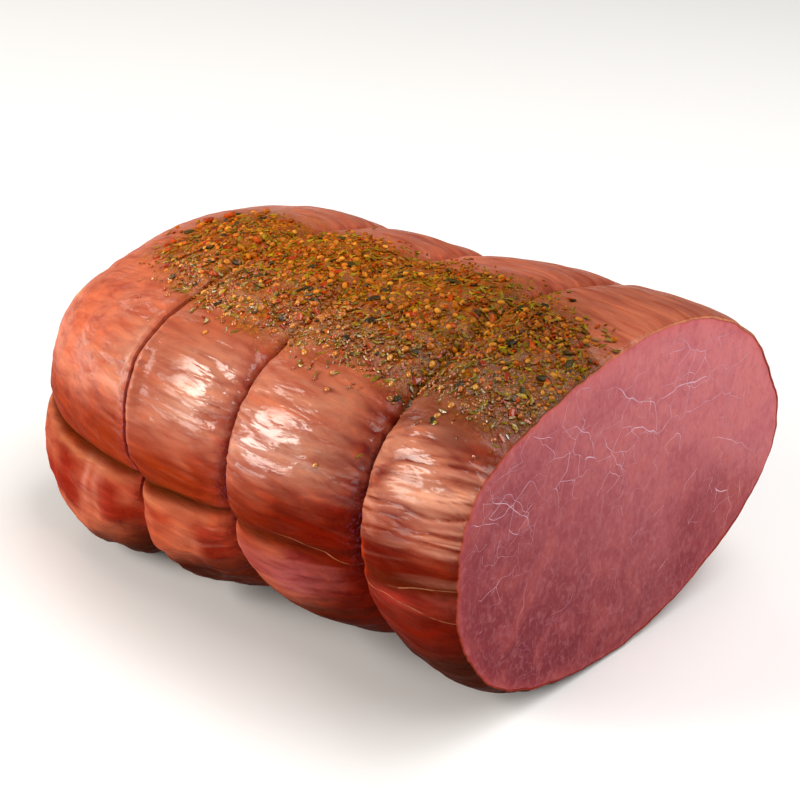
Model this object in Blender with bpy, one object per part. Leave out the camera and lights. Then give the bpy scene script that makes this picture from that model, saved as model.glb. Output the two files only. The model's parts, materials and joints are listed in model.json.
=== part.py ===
"""Beef pastrami: one cured roast, tied in three places, cut across at one end, seasoned along its top.

The roast lies along X. Its flat cut is at +X, its rounded end at -X, and it rests on flat spots at Z = 0.
Angles run round each cross section, in degrees: 0 faces +Y, 90 is the top, 180 faces -Y, 270 is below.
"""
import math
import random
from collections import namedtuple

import bpy
import bmesh
import numpy as np
from mathutils import Matrix, Vector
from mathutils.bvhtree import BVHTree

# Lengthwise places, in metres
CUT_X = 0.0846
TIE_MARKS_X = (-0.0194, 0.0147, 0.0537)
DOME_START_X = -0.0310
ROUND_END_X = -0.0832
# Moves the whole roast, so that its box is centred on the origin
CENTRING_X = 0.0014

# Cross sections of the plump roast without its tie marks; lift is the height of its lowest point
Section = namedtuple("Section", "x half_width half_height centre_y lift")
SECTIONS = (
    Section(-0.0532, 0.0605, 0.0427, -0.0024, -0.0024),
    Section(TIE_MARKS_X[0], 0.0587, 0.0460, -0.0100, -0.0026),
    Section(TIE_MARKS_X[1], 0.0609, 0.0450, -0.0077, 0.0004),
    Section(TIE_MARKS_X[2], 0.0637, 0.0457, 0.0009, 0.0002),
    Section(CUT_X, 0.0658, 0.0461, 0.0038, -0.0024),
)
ROUNDNESS = 2.1

# Swellings of the section all along the roast: angle and reach in degrees, height in metres
Swelling = namedtuple("Swelling", "angle reach height")
SHOULDERS = (
    Swelling(180, 20, 0.0011),
    Swelling(143, 20, 0.0042),
    Swelling(0, 18, 0.0017),
    Swelling(320, 25, -0.0008),
    Swelling(236, 22, 0.0010),
)
# Flattenings that grow from the last tie mark to the cut
CUT_END_FLATS = (
    Swelling(15, 20, -0.0031),
    Swelling(60, 25, 0.0006),
    Swelling(300, 22, -0.0030),
)

# Depth of the tie marks on each side, how much shallower each of them is on the near shoulder,
# the roundness of the meat that swells between them,
# and where the first and last swell would end if the roast went on
TIE_DEPTH_NEAR = 0.0090
TIE_DEPTH_FAR = 0.0040
TIE_DEPTH_TOP = 0.0040
TIE_DEPTH_BELOW = 0.0080
TIE_EASES = (0.80, 0.25, 0.0)
TIE_EASE_ANGLE = 165
TIE_EASE_REACH = 40
LOBE_POWERS = (5.0, 2.4, 2.4, 2.4)
FIRST_LOBE_X = -0.1432
END_LOBE_LENGTH = 0.0340

# The rounded end, and the under muscle that reaches a little past it
DOME_POWER = 0.46
UNDER_REACH = 0.0116
UNDER_REACH_ANGLE = 203
UNDER_REACH_SPREAD = 26
UNDER_MUSCLE_ANGLE = 218
UNDER_MUSCLE_SPREAD = 22
UNDER_MUSCLE_PLACES_X = (-0.0513, -0.0330, -0.0215, -0.0150, -0.0024, 0.0342, 0.0692)
UNDER_MUSCLE_HEIGHTS = (0.0112, 0.0072, 0.0004, 0.0040, 0.0016, 0.0010, 0.0)

# The lengthwise fold on the -Y side, where the outer layer of meat laps over the under muscle
SEAM_ANGLES = (188, 186, 185, 183, 175)
SEAM_DEPTHS = (0.0048, 0.0042, 0.0028, 0.0010, 0.0006)
SEAM_REACH_ABOVE = 9
SEAM_REACH_BELOW = 7
SEAM_LIP_POWER = 1.4

# Slow unevenness of the surface: waves to the metre along the roast, waves round it, start in radians
Wave = namedtuple("Wave", "height along round start")
LUMPS = (
    Wave(0.00035, 155, -1, 0.7),
    Wave(0.00035, 35, 5, -2.4),
    Wave(0.00030, 150, -5, 1.9),
)

# Rings and sides of the surface: the rings crowd at the tie marks and the sides crowd beside the fold
SIDES = 56
DOME_RINGS = 8
SHOULDER_RINGS = 3
LOBE_RINGS = 9
LOBE_TURN = 180
END_LOBE_TURN = 120
SEAM_CROWDING = 0.40
POLE_REACH = 0.0012
SHARP_ANGLE = 50

# The seasoned strip along the top, and the pieces large enough to stand out from it
STRIP_ANGLES = (98, 102, 105, 110, 115)
STRIP_HALF_ANGLES = (18, 22, 23, 20, 16)
STRIP_START_X = -0.058
STRIP_END_X = 0.0815
STRIP_RISE = 0.0007
STRIP_EDGE_ANGLE = 2
STRIP_EDGE_LENGTH = 0.002
STRIP_LEAN = 0.35
Topping = namedtuple("Topping", "name count length width thickness sunk uneven")
TOPPINGS = (
    Topping("leaf_flake", 24, 0.0034, 0.0020, 0.0008, 0.28, 0.18),
    Topping("pepper_flake", 26, 0.0032, 0.0016, 0.0008, 0.28, 0.16),
    Topping("coriander_seed", 84, 0.0021, 0.0016, 0.0013, 0.28, 0.06),
)
TOPPING_SIZES = (0.86, 1.08)
TOPPING_GAP = 0.0005
TOPPING_CUT_GAP = 0.0015
TOPPING_SIDES = 6
TOPPING_RINGS = 4
TOPPING_TRIES = 4000
SLOPE_STEP_X = 0.0005
SLOPE_STEP_ANGLE = 0.5
WELD_DISTANCE = 0.00001
SEED = 12

ROAST_COLOUR = (0.42, 0.16, 0.10, 1.0)
ROAST_ROUGHNESS = 0.38


def clear_scene():
    """Start from an empty scene."""
    for obj in list(bpy.data.objects):
        bpy.data.objects.remove(obj, do_unlink=True)


def fade(angle, centre, reach):
    """1 at the centre angle, falling away smoothly over the reach, all in degrees."""
    away = (angle - centre + 180) % 360 - 180
    return math.exp(-(away / reach) ** 2)


def along(xs, values, x):
    """A smooth curve through values at the places xs, level beyond both ends."""
    slopes = np.gradient(np.array(values), np.array(xs))
    if x <= xs[0]:
        return values[0]
    if x >= xs[-1]:
        return values[-1]
    i = max(k for k in range(len(xs) - 1) if xs[k] <= x)
    step = xs[i + 1] - xs[i]
    t = (x - xs[i]) / step
    start = (1 + 2 * t) * (1 - t) ** 2 * values[i] + t * (1 - t) ** 2 * step * slopes[i]
    end = t * t * (3 - 2 * t) * values[i + 1] - t * t * (1 - t) * step * slopes[i + 1]
    return start + end


def by_section(values, x):
    """The value at x of something given at every section."""
    return along([s.x for s in SECTIONS], values, x)


def section_value(name, x):
    """One measure of the cross section at x."""
    return by_section([getattr(s, name) for s in SECTIONS], x)


def tie_pull(x):
    """0 where the meat is plump, 1 at the bottom of a tie mark."""
    bounds = (FIRST_LOBE_X,) + TIE_MARKS_X + (TIE_MARKS_X[-1] + END_LOBE_LENGTH,)
    for low, high, power in zip(bounds[:-1], bounds[1:], LOBE_POWERS):
        if low <= x <= high:
            from_middle = abs(2 * (x - low) / (high - low) - 1)
            return 1 - (1 - from_middle ** power) ** (1 / power)
    return 0.0


def tie_depth(x, angle):
    """Depth at an angle of the tie mark nearest to x."""
    side, rise = math.cos(math.radians(angle)), math.sin(math.radians(angle))
    depth = TIE_DEPTH_NEAR * max(-side, 0) + TIE_DEPTH_FAR * max(side, 0)
    depth += TIE_DEPTH_TOP * max(rise, 0) ** 2 + TIE_DEPTH_BELOW * max(-rise, 0) ** 2
    nearest = min(range(len(TIE_MARKS_X)), key=lambda k: abs(x - TIE_MARKS_X[k]))
    return depth * (1 - TIE_EASES[nearest] * fade(angle, TIE_EASE_ANGLE, TIE_EASE_REACH))


def seam_angle(x):
    """Angle of the lengthwise fold at x."""
    return by_section(SEAM_ANGLES, x)


def seam_pull(x, angle):
    """Depth of the fold: a rounded lip above it and a steeper side below it."""
    depth = by_section(SEAM_DEPTHS, x)
    off = angle - seam_angle(x)
    if off < 0:
        return depth * math.exp(-(-off / SEAM_REACH_ABOVE) ** SEAM_LIP_POWER)
    return depth * math.exp(-off / SEAM_REACH_BELOW)


def under_muscle(x, angle):
    """Swelling of the under muscle, largest at the rounded end."""
    height = along(UNDER_MUSCLE_PLACES_X, UNDER_MUSCLE_HEIGHTS, x)
    return height * fade(angle, UNDER_MUSCLE_ANGLE, UNDER_MUSCLE_SPREAD)


def lumps(x, angle):
    """Slow unevenness, the same wherever it is asked for."""
    turn = math.radians(angle)
    return sum(w.height * math.sin(x * w.along + turn * w.round + w.start) for w in LUMPS)


def strip_cover(x, angle):
    """1 on the seasoned strip, falling to 0 past its edges."""
    inside = by_section(STRIP_HALF_ANGLES, x) - abs(angle - by_section(STRIP_ANGLES, x))
    across = 1 / (1 + math.exp(-inside / STRIP_EDGE_ANGLE))
    return across / (1 + math.exp((STRIP_START_X - x) / STRIP_EDGE_LENGTH))


def relief(x, angle):
    """Height of the skin above the plain section, in metres."""
    to_cut = min(max((x - TIE_MARKS_X[-1]) / (CUT_X - TIE_MARKS_X[-1]), 0), 1)
    height = sum(s.height * fade(angle, s.angle, s.reach) for s in SHOULDERS)
    height += to_cut ** 2 * sum(s.height * fade(angle, s.angle, s.reach) for s in CUT_END_FLATS)
    height += under_muscle(x, angle) + lumps(x, angle) + STRIP_RISE * strip_cover(x, angle)
    return height - tie_pull(x) * tie_depth(x, angle) - seam_pull(x, angle)


def into_dome(x):
    """0 along the roast's length, 1 at the tip of the dome."""
    return min(max((DOME_START_X - x) / (DOME_START_X - ROUND_END_X), 0), 1)


def skin_point(x, angle):
    """The point of the skin at a nominal x, which is its x before centring, and an angle."""
    size = math.sqrt(1 - into_dome(x) ** 2) ** DOME_POWER
    turn = math.radians(angle)
    side, rise = math.cos(turn), math.sin(turn)
    width, height = section_value("half_width", x), section_value("half_height", x)
    round_side = math.copysign(abs(side) ** (2 / ROUNDNESS), side)
    round_rise = math.copysign(abs(rise) ** (2 / ROUNDNESS), rise)
    outward = Vector((0, side / width, rise / height)).normalized()
    bulge = relief(x, angle)
    y = section_value("centre_y", x) + size * (width * round_side + bulge * outward.y)
    z = height + section_value("lift", x) + size * (height * round_rise + bulge * outward.z)
    reach = UNDER_REACH * into_dome(x) * size * fade(angle, UNDER_REACH_ANGLE, UNDER_REACH_SPREAD)
    return Vector((x - reach + CENTRING_X, y, max(z, 0.0)))


def rings():
    """Nominal x of every ring, from the rounded end to the cut; crowded at the dome and the tie marks."""
    places = []
    for k in range(1, DOME_RINGS):
        share = math.cos(math.radians(90 * k / DOME_RINGS))
        places.append(DOME_START_X + (ROUND_END_X - DOME_START_X) * share)
    for k in range(SHOULDER_RINGS):
        share = math.sin(math.radians(90 * k / SHOULDER_RINGS))
        places.append(DOME_START_X + (TIE_MARKS_X[0] - DOME_START_X) * share)
    for low, high in zip(TIE_MARKS_X, TIE_MARKS_X[1:] + (CUT_X,)):
        turn = math.radians(END_LOBE_TURN if high == CUT_X else LOBE_TURN)
        for k in range(LOBE_RINGS):
            share = (1 - math.cos(turn * k / LOBE_RINGS)) / (1 - math.cos(turn))
            places.append(low + (high - low) * share)
    places.append(CUT_X)
    return places


def ring_angles(x):
    """Angles of a ring's corners: one lies in the fold, and they are closest together beside it."""
    steps = [360 * k / SIDES for k in range(SIDES)]
    return [seam_angle(x) + s - math.degrees(SEAM_CROWDING * math.sin(math.radians(s))) for s in steps]


def build_roast():
    """The roast as one closed skin: a dome of rings, the tied length and the flat cut."""
    shape = bmesh.new()
    rows = []
    for x in rings():
        rows.append([shape.verts.new(skin_point(x, angle % 360)) for angle in ring_angles(x)])
    middle = sum((v.co for v in rows[0]), Vector()) / SIDES
    pole = shape.verts.new(middle - Vector((POLE_REACH, 0, 0)))
    for k in range(SIDES):
        after = (k + 1) % SIDES
        shape.faces.new((pole, rows[0][after], rows[0][k]))
        for low, high in zip(rows[:-1], rows[1:]):
            shape.faces.new((low[k], low[after], high[after], high[k]))
    shape.faces.new(rows[-1])
    bmesh.ops.recalc_face_normals(shape, faces=shape.faces)
    mesh = bpy.data.meshes.new("pastrami")
    shape.to_mesh(mesh)
    shape.free()
    return mesh


def strip_places(random_draw):
    """Endless random places on the seasoned strip, denser towards its middle: nominal x and angle."""
    while True:
        x = random_draw.uniform(STRIP_START_X, STRIP_END_X)
        off = random_draw.triangular(-1, 1, random_draw.choice((-STRIP_LEAN, STRIP_LEAN)))
        yield x, by_section(STRIP_ANGLES, x) + off * by_section(STRIP_HALF_ANGLES, x)


def skin_frame(x, angle):
    """Point, outward direction and lengthwise direction of the skin."""
    step, turn = SLOPE_STEP_X, SLOPE_STEP_ANGLE
    length = (skin_point(x + step, angle) - skin_point(x - step, angle)).normalized()
    across = (skin_point(x, angle + turn) - skin_point(x, angle - turn)).normalized()
    return skin_point(x, angle), across.cross(length).normalized(), length


def topping_mesh(kind, random_draw):
    """A seed or flake of few sides, a little uneven, lying flat in XY."""
    shape = bmesh.new()
    bmesh.ops.create_uvsphere(shape, u_segments=TOPPING_SIDES, v_segments=TOPPING_RINGS, radius=0.5)
    grow = random_draw.uniform(*TOPPING_SIZES)
    for vert in shape.verts:
        uneven = random_draw.uniform(1 - kind.uneven, 1 + kind.uneven)
        vert.co.x *= kind.length * grow * uneven
        vert.co.y *= kind.width * grow * uneven
        vert.co.z *= kind.thickness * grow
    mesh = bpy.data.meshes.new(kind.name)
    shape.to_mesh(mesh)
    shape.free()
    return mesh


def lay_toppings(roast, collection):
    """Seat every topping on the strip, the largest first and clear of the others."""
    corners = [v.co for v in roast.vertices]
    facets = BVHTree.FromPolygons(corners, [p.vertices for p in roast.polygons])
    places = strip_places(random.Random(SEED))
    shape_draw = random.Random(SEED)
    taken = []
    for kind in TOPPINGS:
        laid = 0
        for _ in range(TOPPING_TRIES):
            if laid == kind.count:
                break
            x, angle = next(places)
            here, outward, length = skin_frame(x, angle)
            radius = kind.length * max(TOPPING_SIZES) / 2
            if x + radius > CUT_X - TOPPING_CUT_GAP:
                continue
            if any((here - other).length < radius + reach + TOPPING_GAP for other, reach in taken):
                continue
            spin = Matrix.Rotation(shape_draw.uniform(0, math.tau), 3, outward)
            forward = spin @ length
            seat = Matrix((forward, outward.cross(forward), outward)).transposed().to_4x4()
            seat.translation = facets.find_nearest(here)[0] + outward * kind.thickness * (0.5 - kind.sunk)
            piece = bpy.data.objects.new(f"{kind.name}_{laid:03d}", topping_mesh(kind, shape_draw))
            piece.matrix_world = seat
            collection.objects.link(piece)
            taken.append((here, radius))
            laid += 1


def fuse(body, collection):
    """Join the collection's pieces to the body as one solid and remove them."""
    union = body.modifiers.new("toppings", "BOOLEAN")
    union.operation = "UNION"
    union.operand_type = "COLLECTION"
    union.collection = collection
    union.solver = "EXACT"
    bpy.context.view_layer.update()
    fused = bpy.data.meshes.new_from_object(body.evaluated_get(bpy.context.evaluated_depsgraph_get()))
    body.modifiers.clear()
    plain = body.data
    body.data = fused
    fused.name = "pastrami"
    bpy.data.meshes.remove(plain)
    for piece in list(collection.objects):
        mesh = piece.data
        bpy.data.objects.remove(piece, do_unlink=True)
        bpy.data.meshes.remove(mesh)
    bpy.data.collections.remove(collection)


def drop_scraps(mesh):
    """Keep the largest body of faces joined by edges and drop any scrap that fusing left beside it."""
    shape = bmesh.new()
    shape.from_mesh(mesh)
    bmesh.ops.triangulate(shape, faces=shape.faces)
    bmesh.ops.dissolve_degenerate(shape, edges=shape.edges, dist=WELD_DISTANCE)
    unseen = set(shape.faces)
    bodies = []
    while unseen:
        found, waiting = [], [unseen.pop()]
        while waiting:
            face = waiting.pop()
            found.append(face)
            linked = {other for edge in face.edges for other in edge.link_faces} & unseen
            unseen -= linked
            waiting.extend(linked)
        bodies.append(found)
    bodies.sort(key=len)
    bmesh.ops.delete(shape, geom=[face for body in bodies[:-1] for face in body], context="FACES")
    shape.to_mesh(mesh)
    shape.free()


def cured_meat():
    """The roast's plain material."""
    material = bpy.data.materials.new("cured_meat")
    material.use_nodes = True
    shader = material.node_tree.nodes["Principled BSDF"]
    shader.inputs["Base Color"].default_value = ROAST_COLOUR
    shader.inputs["Roughness"].default_value = ROAST_ROUGHNESS
    shader.inputs["Metallic"].default_value = 0.0
    return material


def main():
    clear_scene()
    body = bpy.data.objects.new("pastrami", build_roast())
    bpy.context.scene.collection.objects.link(body)
    toppings = bpy.data.collections.new("toppings")
    bpy.context.scene.collection.children.link(toppings)
    lay_toppings(body.data, toppings)
    fuse(body, toppings)
    drop_scraps(body.data)
    body.data.materials.clear()
    body.data.materials.append(cured_meat())
    body.data.shade_smooth()
    body.data.set_sharp_from_angle(angle=math.radians(SHARP_ANGLE))


main()
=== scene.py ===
"""Beef pastrami: the looks of a cured, tied roast with a seasoned top and a flat cut.

The roast lies along X with its cut at +X and its rounded end at -X. Angles run round each cross section, in
degrees: 0 faces +Y, 90 is the top, 180 faces -Y, 270 is below. Lengths are in metres.
"""
import json
import math
import random
from collections import namedtuple

import bmesh
import bpy
import numpy as np
from mathutils import Matrix, Vector, geometry

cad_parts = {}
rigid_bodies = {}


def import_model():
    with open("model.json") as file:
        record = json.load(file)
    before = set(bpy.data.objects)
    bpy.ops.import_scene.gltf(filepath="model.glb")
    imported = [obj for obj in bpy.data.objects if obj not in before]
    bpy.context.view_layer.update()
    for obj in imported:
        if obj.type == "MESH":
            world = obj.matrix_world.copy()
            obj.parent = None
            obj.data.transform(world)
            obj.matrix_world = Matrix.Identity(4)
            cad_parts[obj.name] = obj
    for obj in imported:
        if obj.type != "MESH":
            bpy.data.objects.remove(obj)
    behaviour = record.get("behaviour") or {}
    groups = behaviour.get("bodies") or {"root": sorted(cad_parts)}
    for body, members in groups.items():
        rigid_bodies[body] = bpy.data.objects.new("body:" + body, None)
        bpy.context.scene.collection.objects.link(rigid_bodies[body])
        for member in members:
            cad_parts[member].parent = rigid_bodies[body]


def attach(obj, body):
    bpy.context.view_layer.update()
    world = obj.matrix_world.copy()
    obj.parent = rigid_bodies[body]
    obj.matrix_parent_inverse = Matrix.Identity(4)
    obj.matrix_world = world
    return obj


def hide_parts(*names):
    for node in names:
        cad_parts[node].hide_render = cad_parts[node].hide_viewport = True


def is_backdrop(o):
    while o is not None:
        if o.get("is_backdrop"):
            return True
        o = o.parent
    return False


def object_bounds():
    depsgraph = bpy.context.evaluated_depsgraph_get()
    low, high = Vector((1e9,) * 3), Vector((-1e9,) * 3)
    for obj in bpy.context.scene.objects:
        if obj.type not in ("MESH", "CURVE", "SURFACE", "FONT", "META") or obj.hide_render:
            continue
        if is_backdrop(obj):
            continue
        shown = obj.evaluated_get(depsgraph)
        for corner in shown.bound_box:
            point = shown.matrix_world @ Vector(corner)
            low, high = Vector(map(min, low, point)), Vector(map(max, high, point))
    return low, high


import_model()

bl_info = {
    "name": "Beef pastrami",
    "version": (1, 0, 0),
    "blender": (4, 5, 0),
    "location": "3D View > Sidebar > Pastrami",
    "description": "Builds a tied, cured beef roast with a seasoned top and a flat cut",
    "category": "Add Mesh",
}

CAD_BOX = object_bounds()

# The solid's own measures, repeated from its source: places along the roast and its named sections
CUT_X = 0.0846
TIE_MARKS_X = (-0.0194, 0.0147, 0.0537)
DOME_START_X = -0.0310
ROUND_END_X = -0.0832
CENTRING_X = 0.0014
Section = namedtuple("Section", "x half_width half_height centre_y lift")
SECTIONS = (
    Section(-0.0532, 0.0605, 0.0427, -0.0024, -0.0024),
    Section(TIE_MARKS_X[0], 0.0587, 0.0460, -0.0100, -0.0026),
    Section(TIE_MARKS_X[1], 0.0609, 0.0450, -0.0077, 0.0004),
    Section(TIE_MARKS_X[2], 0.0637, 0.0457, 0.0009, 0.0002),
    Section(CUT_X, 0.0658, 0.0461, 0.0038, -0.0024),
)
ROUNDNESS = 2.1
Swelling = namedtuple("Swelling", "angle reach height")
SHOULDERS = (
    Swelling(180, 20, 0.0011),
    Swelling(143, 20, 0.0042),
    Swelling(0, 18, 0.0017),
    Swelling(320, 25, -0.0008),
    Swelling(236, 22, 0.0010),
)
CUT_END_FLATS = (
    Swelling(15, 20, -0.0031),
    Swelling(60, 25, 0.0006),
    Swelling(300, 22, -0.0030),
)
# Depth of the tie marks on each side, how much shallower each is on the near shoulder, and the form of the
# swells between them
TIE_DEPTH_NEAR = 0.0090
TIE_DEPTH_FAR = 0.0040
TIE_DEPTH_TOP = 0.0040
TIE_DEPTH_BELOW = 0.0080
TIE_EASES = (0.80, 0.25, 0.0)
TIE_EASE_ANGLE = 165
TIE_EASE_REACH = 40
LOBE_POWERS = (5.0, 2.4, 2.4, 2.4)
FIRST_LOBE_X = -0.1432
END_LOBE_LENGTH = 0.0340
DOME_POWER = 0.46
# The under muscle: how far it reaches past the rounded end, and its height along the roast
UNDER_REACH = 0.0116
UNDER_REACH_ANGLE = 203
UNDER_REACH_SPREAD = 26
UNDER_MUSCLE_ANGLE = 218
UNDER_MUSCLE_SPREAD = 22
UNDER_MUSCLE_PLACES_X = (-0.0513, -0.0330, -0.0215, -0.0150, -0.0024, 0.0342, 0.0692)
UNDER_MUSCLE_HEIGHTS = (0.0112, 0.0072, 0.0004, 0.0040, 0.0016, 0.0010, 0.0)
# The lengthwise fold: its angle and depth at every section, and its reach in degrees
SEAM_ANGLES = (188, 186, 185, 183, 175)
SEAM_DEPTHS = (0.0048, 0.0042, 0.0028, 0.0010, 0.0006)
SEAM_REACH_ABOVE = 9
SEAM_REACH_BELOW = 7
SEAM_LIP_POWER = 1.4
Wave = namedtuple("Wave", "height along round start")
LUMPS = (
    Wave(0.00035, 155, -1, 0.7),
    Wave(0.00035, 35, 5, -2.4),
    Wave(0.00030, 150, -5, 1.9),
)
# The seasoned strip: its middle and half width in degrees at every section, its ends, rise and soft edges,
# how far from its middle the large seeds are densest, and the gap that the finer ones leave to the cut
STRIP_ANGLES = (98, 102, 105, 110, 115)
STRIP_HALF_ANGLES = (18, 22, 23, 20, 16)
STRIP_START_X = -0.058
STRIP_END_X = 0.0815
STRIP_RISE = 0.0007
STRIP_EDGE_ANGLE = 2
STRIP_EDGE_LENGTH = 0.002
STRIP_LEAN = 0.35
STREWN_CUT_GAP = 0.0008
# The large seeds and flakes that the solid has too, and how they keep apart
Topping = namedtuple("Topping", "name count length width thickness sunk uneven")
TOPPINGS = (
    Topping("leaf_flake", 24, 0.0034, 0.0020, 0.0008, 0.28, 0.18),
    Topping("pepper_flake", 26, 0.0032, 0.0016, 0.0008, 0.28, 0.16),
    Topping("coriander_seed", 84, 0.0021, 0.0016, 0.0013, 0.28, 0.06),
)
TOPPING_SIZES = (0.86, 1.08)
TOPPING_GAP = 0.0005
TOPPING_CUT_GAP = 0.0015
TOPPING_SIDES = 6
TOPPING_RINGS = 4
TOPPING_TRIES = 4000
CRUMPLED_FROM = 0.1
# Bits of red pepper larger than the rest; angle and turn are in degrees
RedPiece = namedtuple("RedPiece", "x angle length width turn")
RED_PIECES = (
    RedPiece(-0.0574, 92.8, 0.0038, 0.0035, 20),
    RedPiece(-0.0540, 88.5, 0.0046, 0.0030, 75),
    RedPiece(-0.0210, 115.0, 0.0026, 0.0021, 40),
    RedPiece(-0.0228, 97.9, 0.0034, 0.0020, 10),
)
RED_PIECE_THICKNESS = 0.0009
RED_PIECE_RISE = 0.6
# Steps by which the skin's slope is measured, and the seed that the smooth noise, the veins and the places of
# the large toppings start from
SLOPE_STEP_X = 0.0005
SLOPE_STEP_ANGLE = 0.5
SEED = 12

# How finely the skin and the cut are meshed
SKIN_SIDES = 500
DOME_RINGS = 46
SHOULDER_RINGS = 6
LOBE_RINGS = 42
LOBE_TURN = 180
END_LOBE_TURN = 120
SEAM_CROWDING = 0.40
POLE_REACH = 0.0004
FACE_RINGS = 90
FACE_SIDES = 360
SHARP_ANGLE = 50

# Fine folds and creases of the skin; the pleats of the first swells and of the last: how many go round,
# how long they are, and how much they bend
PLEAT_KINDS = ((132, 0.018, 1.0), (150, 0.027, 0.6))
LAST_PLEATS_HEIGHT = 0.62
# How the pleats slant on each swell, in degrees to the metre, and their strength and reach before and after
# each tie mark
PLEAT_SLANTS = (0, 60, 280, -350)
PLEATS_BEFORE = ((0.8, 0.0060), (1.0, 0.0100), (0.4, 0.0060))
PLEATS_AFTER = ((0.35, 0.0035), (1.0, 0.0110), (1.0, 0.0120))
# Painted shade, dark red, at the end of each swell and the start of the next: strength and reach
SHADE_BEFORE_TIES = ((0.45, 0.0012), (0.95, 0.0034), (1.0, 0.0078))
SHADE_AFTER_TIES = ((0.30, 0.0006), (0.35, 0.0006), (0.35, 0.0006))
# Painted highlight, a pale rim where each swell starts: its strength, and how far past the tie mark it lies
SWELL_RIM_HIGHLIGHTS = (0.40, 0.80, 0.90)
SWELL_RIM_PLACE = 0.0011
# How much each tie mark is filled on the near shoulder, and how far from the mark
TIE_FILLS = (0.0030, 0.0015, 0.0003)
TIE_FILL_REACH = 0.0032
TIE_FILL_ANGLE = 148
# Wetness of the near shoulder: its angle, and its strength at the start and the end of each swell
GLOSS_ANGLES = (147, 146, 154, 145)
GLOSS_FIRST = (0.15, 0.12, 0.90, 0.52)
GLOSS_LAST = (1.0, 1.0, 0.85, 0.52)
# Where each swell turns red brown, in degrees from the fold; the red brown and deep red below are partly the
# meat's own colour and partly painted shade
BROWNED_FROM = (-31, -27, -26, -24)
# How far from a tie mark the pleats fade out, by what share, and how far they sway sideways
PLEAT_CLEAR_REACH = 0.0018
PLEAT_CLEAR_SHARE = 0.9
PLEAT_BEND = 0.9
# Reach of the string's notch, in metres, and of the fold's crease, in degrees
TIE_NOTCH_REACH = 0.0009
SEAM_CREASE_ANGLE = 1.5
# How many degrees below the fold the thin lines of fat lie, at these places along the roast
FOLD_LINE_DROPS = (
    (0.030, 0.037, 0.045, 0.0537, 0.0538, 0.0707, 0.0772, 0.0846),
    (-3.5, -3.0, 0.1, 4.7, 1.2, 0.9, 0.1, -0.6),
)
STRAND_DROPS = (
    (0.0537, 0.0576, 0.0664, 0.0744, 0.0789, 0.0846),
    (3.5, 4.0, 3.4, 6.2, 7.8, 10.0),
)
FAT_LINE_REACH = 0.20
# Where the membrane runs round the under muscle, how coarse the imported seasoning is, and the size of the
# table of random numbers behind the smooth noise
MEMBRANE_X = -0.038
GROUND_GRAIN = 0.0024
LATTICE = (96, 512)

# The cut end: rim of skin and its colours, recess for the meat, how the meat's rings crowd and dip at its
# border, and waviness of the cut
RIM_WIDTH = 0.0005
RIM_OVERLAP = 0.00006
RIM_RED = (150, 56, 44)
RIM_BROWN = (184, 78, 48)
RIM_PALE = (214, 146, 104)
RIM_SHARE = 0.75
RECESS_DEPTH = 0.0025
FACE_CROWDING = 1.15
FACE_EDGE_DIP = 4 * RIM_OVERLAP
FACE_EDGE_RINGS = 1.2
FACE_WAVE = 0.00022
FACE_WAVE_CELL = 0.016
FACE_GRAIN = 0.00004
FACE_GRAIN_CELL = 0.0021
# Colours of the cut: its painted shade low on the near side, its painted light at the upper far side, its
# darker patch and its border
CUT_SHADED_MAUVE = (118, 37, 45)
CUT_LIT_ROSE = (212, 121, 124)
CUT_DEEP = (128, 30, 40)
CUT_BORDER = (206, 88, 88)

# The main veins of fat on the cut, in millimetres: full width, and the (y, z) places that each passes
Vein = namedtuple("Vein", "width places")
MAIN_VEINS = (
    Vein(0.7, ((13.7, 69.5), (18.9, 69.7), (24.7, 69.2), (30.2, 68.8), (33.7, 68.1))),
    Vein(0.5, ((24.7, 69.2), (26.3, 66.9), (24.8, 65.6))),
    Vein(0.4, ((-8.3, 80.3), (-2.8, 77.9), (3.4, 72.9), (11.3, 69.5), (12.6, 65.0), (13.1, 60.4))),
    Vein(0.4, ((-24.0, 75.1), (-19.3, 74.3), (-15.0, 71.6), (-11.7, 66.7), (-10.6, 62.7))),
    Vein(0.7, ((-15.2, 64.3), (-12.5, 63.9), (-9.8, 62.0))),
    Vein(0.4, ((-7.9, 67.1), (-4.8, 62.1), (-2.0, 57.9), (2.4, 53.3))),
    Vein(0.5, ((0.7, 64.7), (4.2, 65.0), (10.9, 61.9), (14.3, 59.9))),
    Vein(0.3, ((15.5, 81.3), (18.3, 80.3), (23.0, 80.0))),
    Vein(0.4, ((37.5, 49.5), (46.0, 45.5), (50.6, 42.1), (58.0, 37.1))),
    Vein(0.8, ((41.8, 32.8), (44.7, 29.8), (48.0, 29.0))),
    Vein(0.4, ((53.3, 30.2), (54.0, 25.8))),
    Vein(0.4, ((-52.1, 72.2), (-47.1, 70.0), (-43.9, 68.6), (-41.6, 66.8), (-38.2, 62.7), (-36.4, 60.1))),
    Vein(0.5, ((-47.1, 70.0), (-47.1, 66.3), (-43.4, 64.3), (-40.9, 62.1), (-36.6, 58.6), (-33.4, 52.7))),
    Vein(0.3, ((-50.8, 67.3), (-47.1, 66.3))),
    Vein(0.3, ((-36.6, 58.6), (-33.2, 60.4))),
    Vein(0.3, ((-55.0, 63.5), (-50.5, 62.0), (-44.5, 58.9))),
    Vein(0.3, ((-34.5, 78.0), (-31.4, 76.6), (-27.6, 74.7))),
    Vein(0.3, ((29.6, 40.2), (31.8, 42.0))),
)

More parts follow.
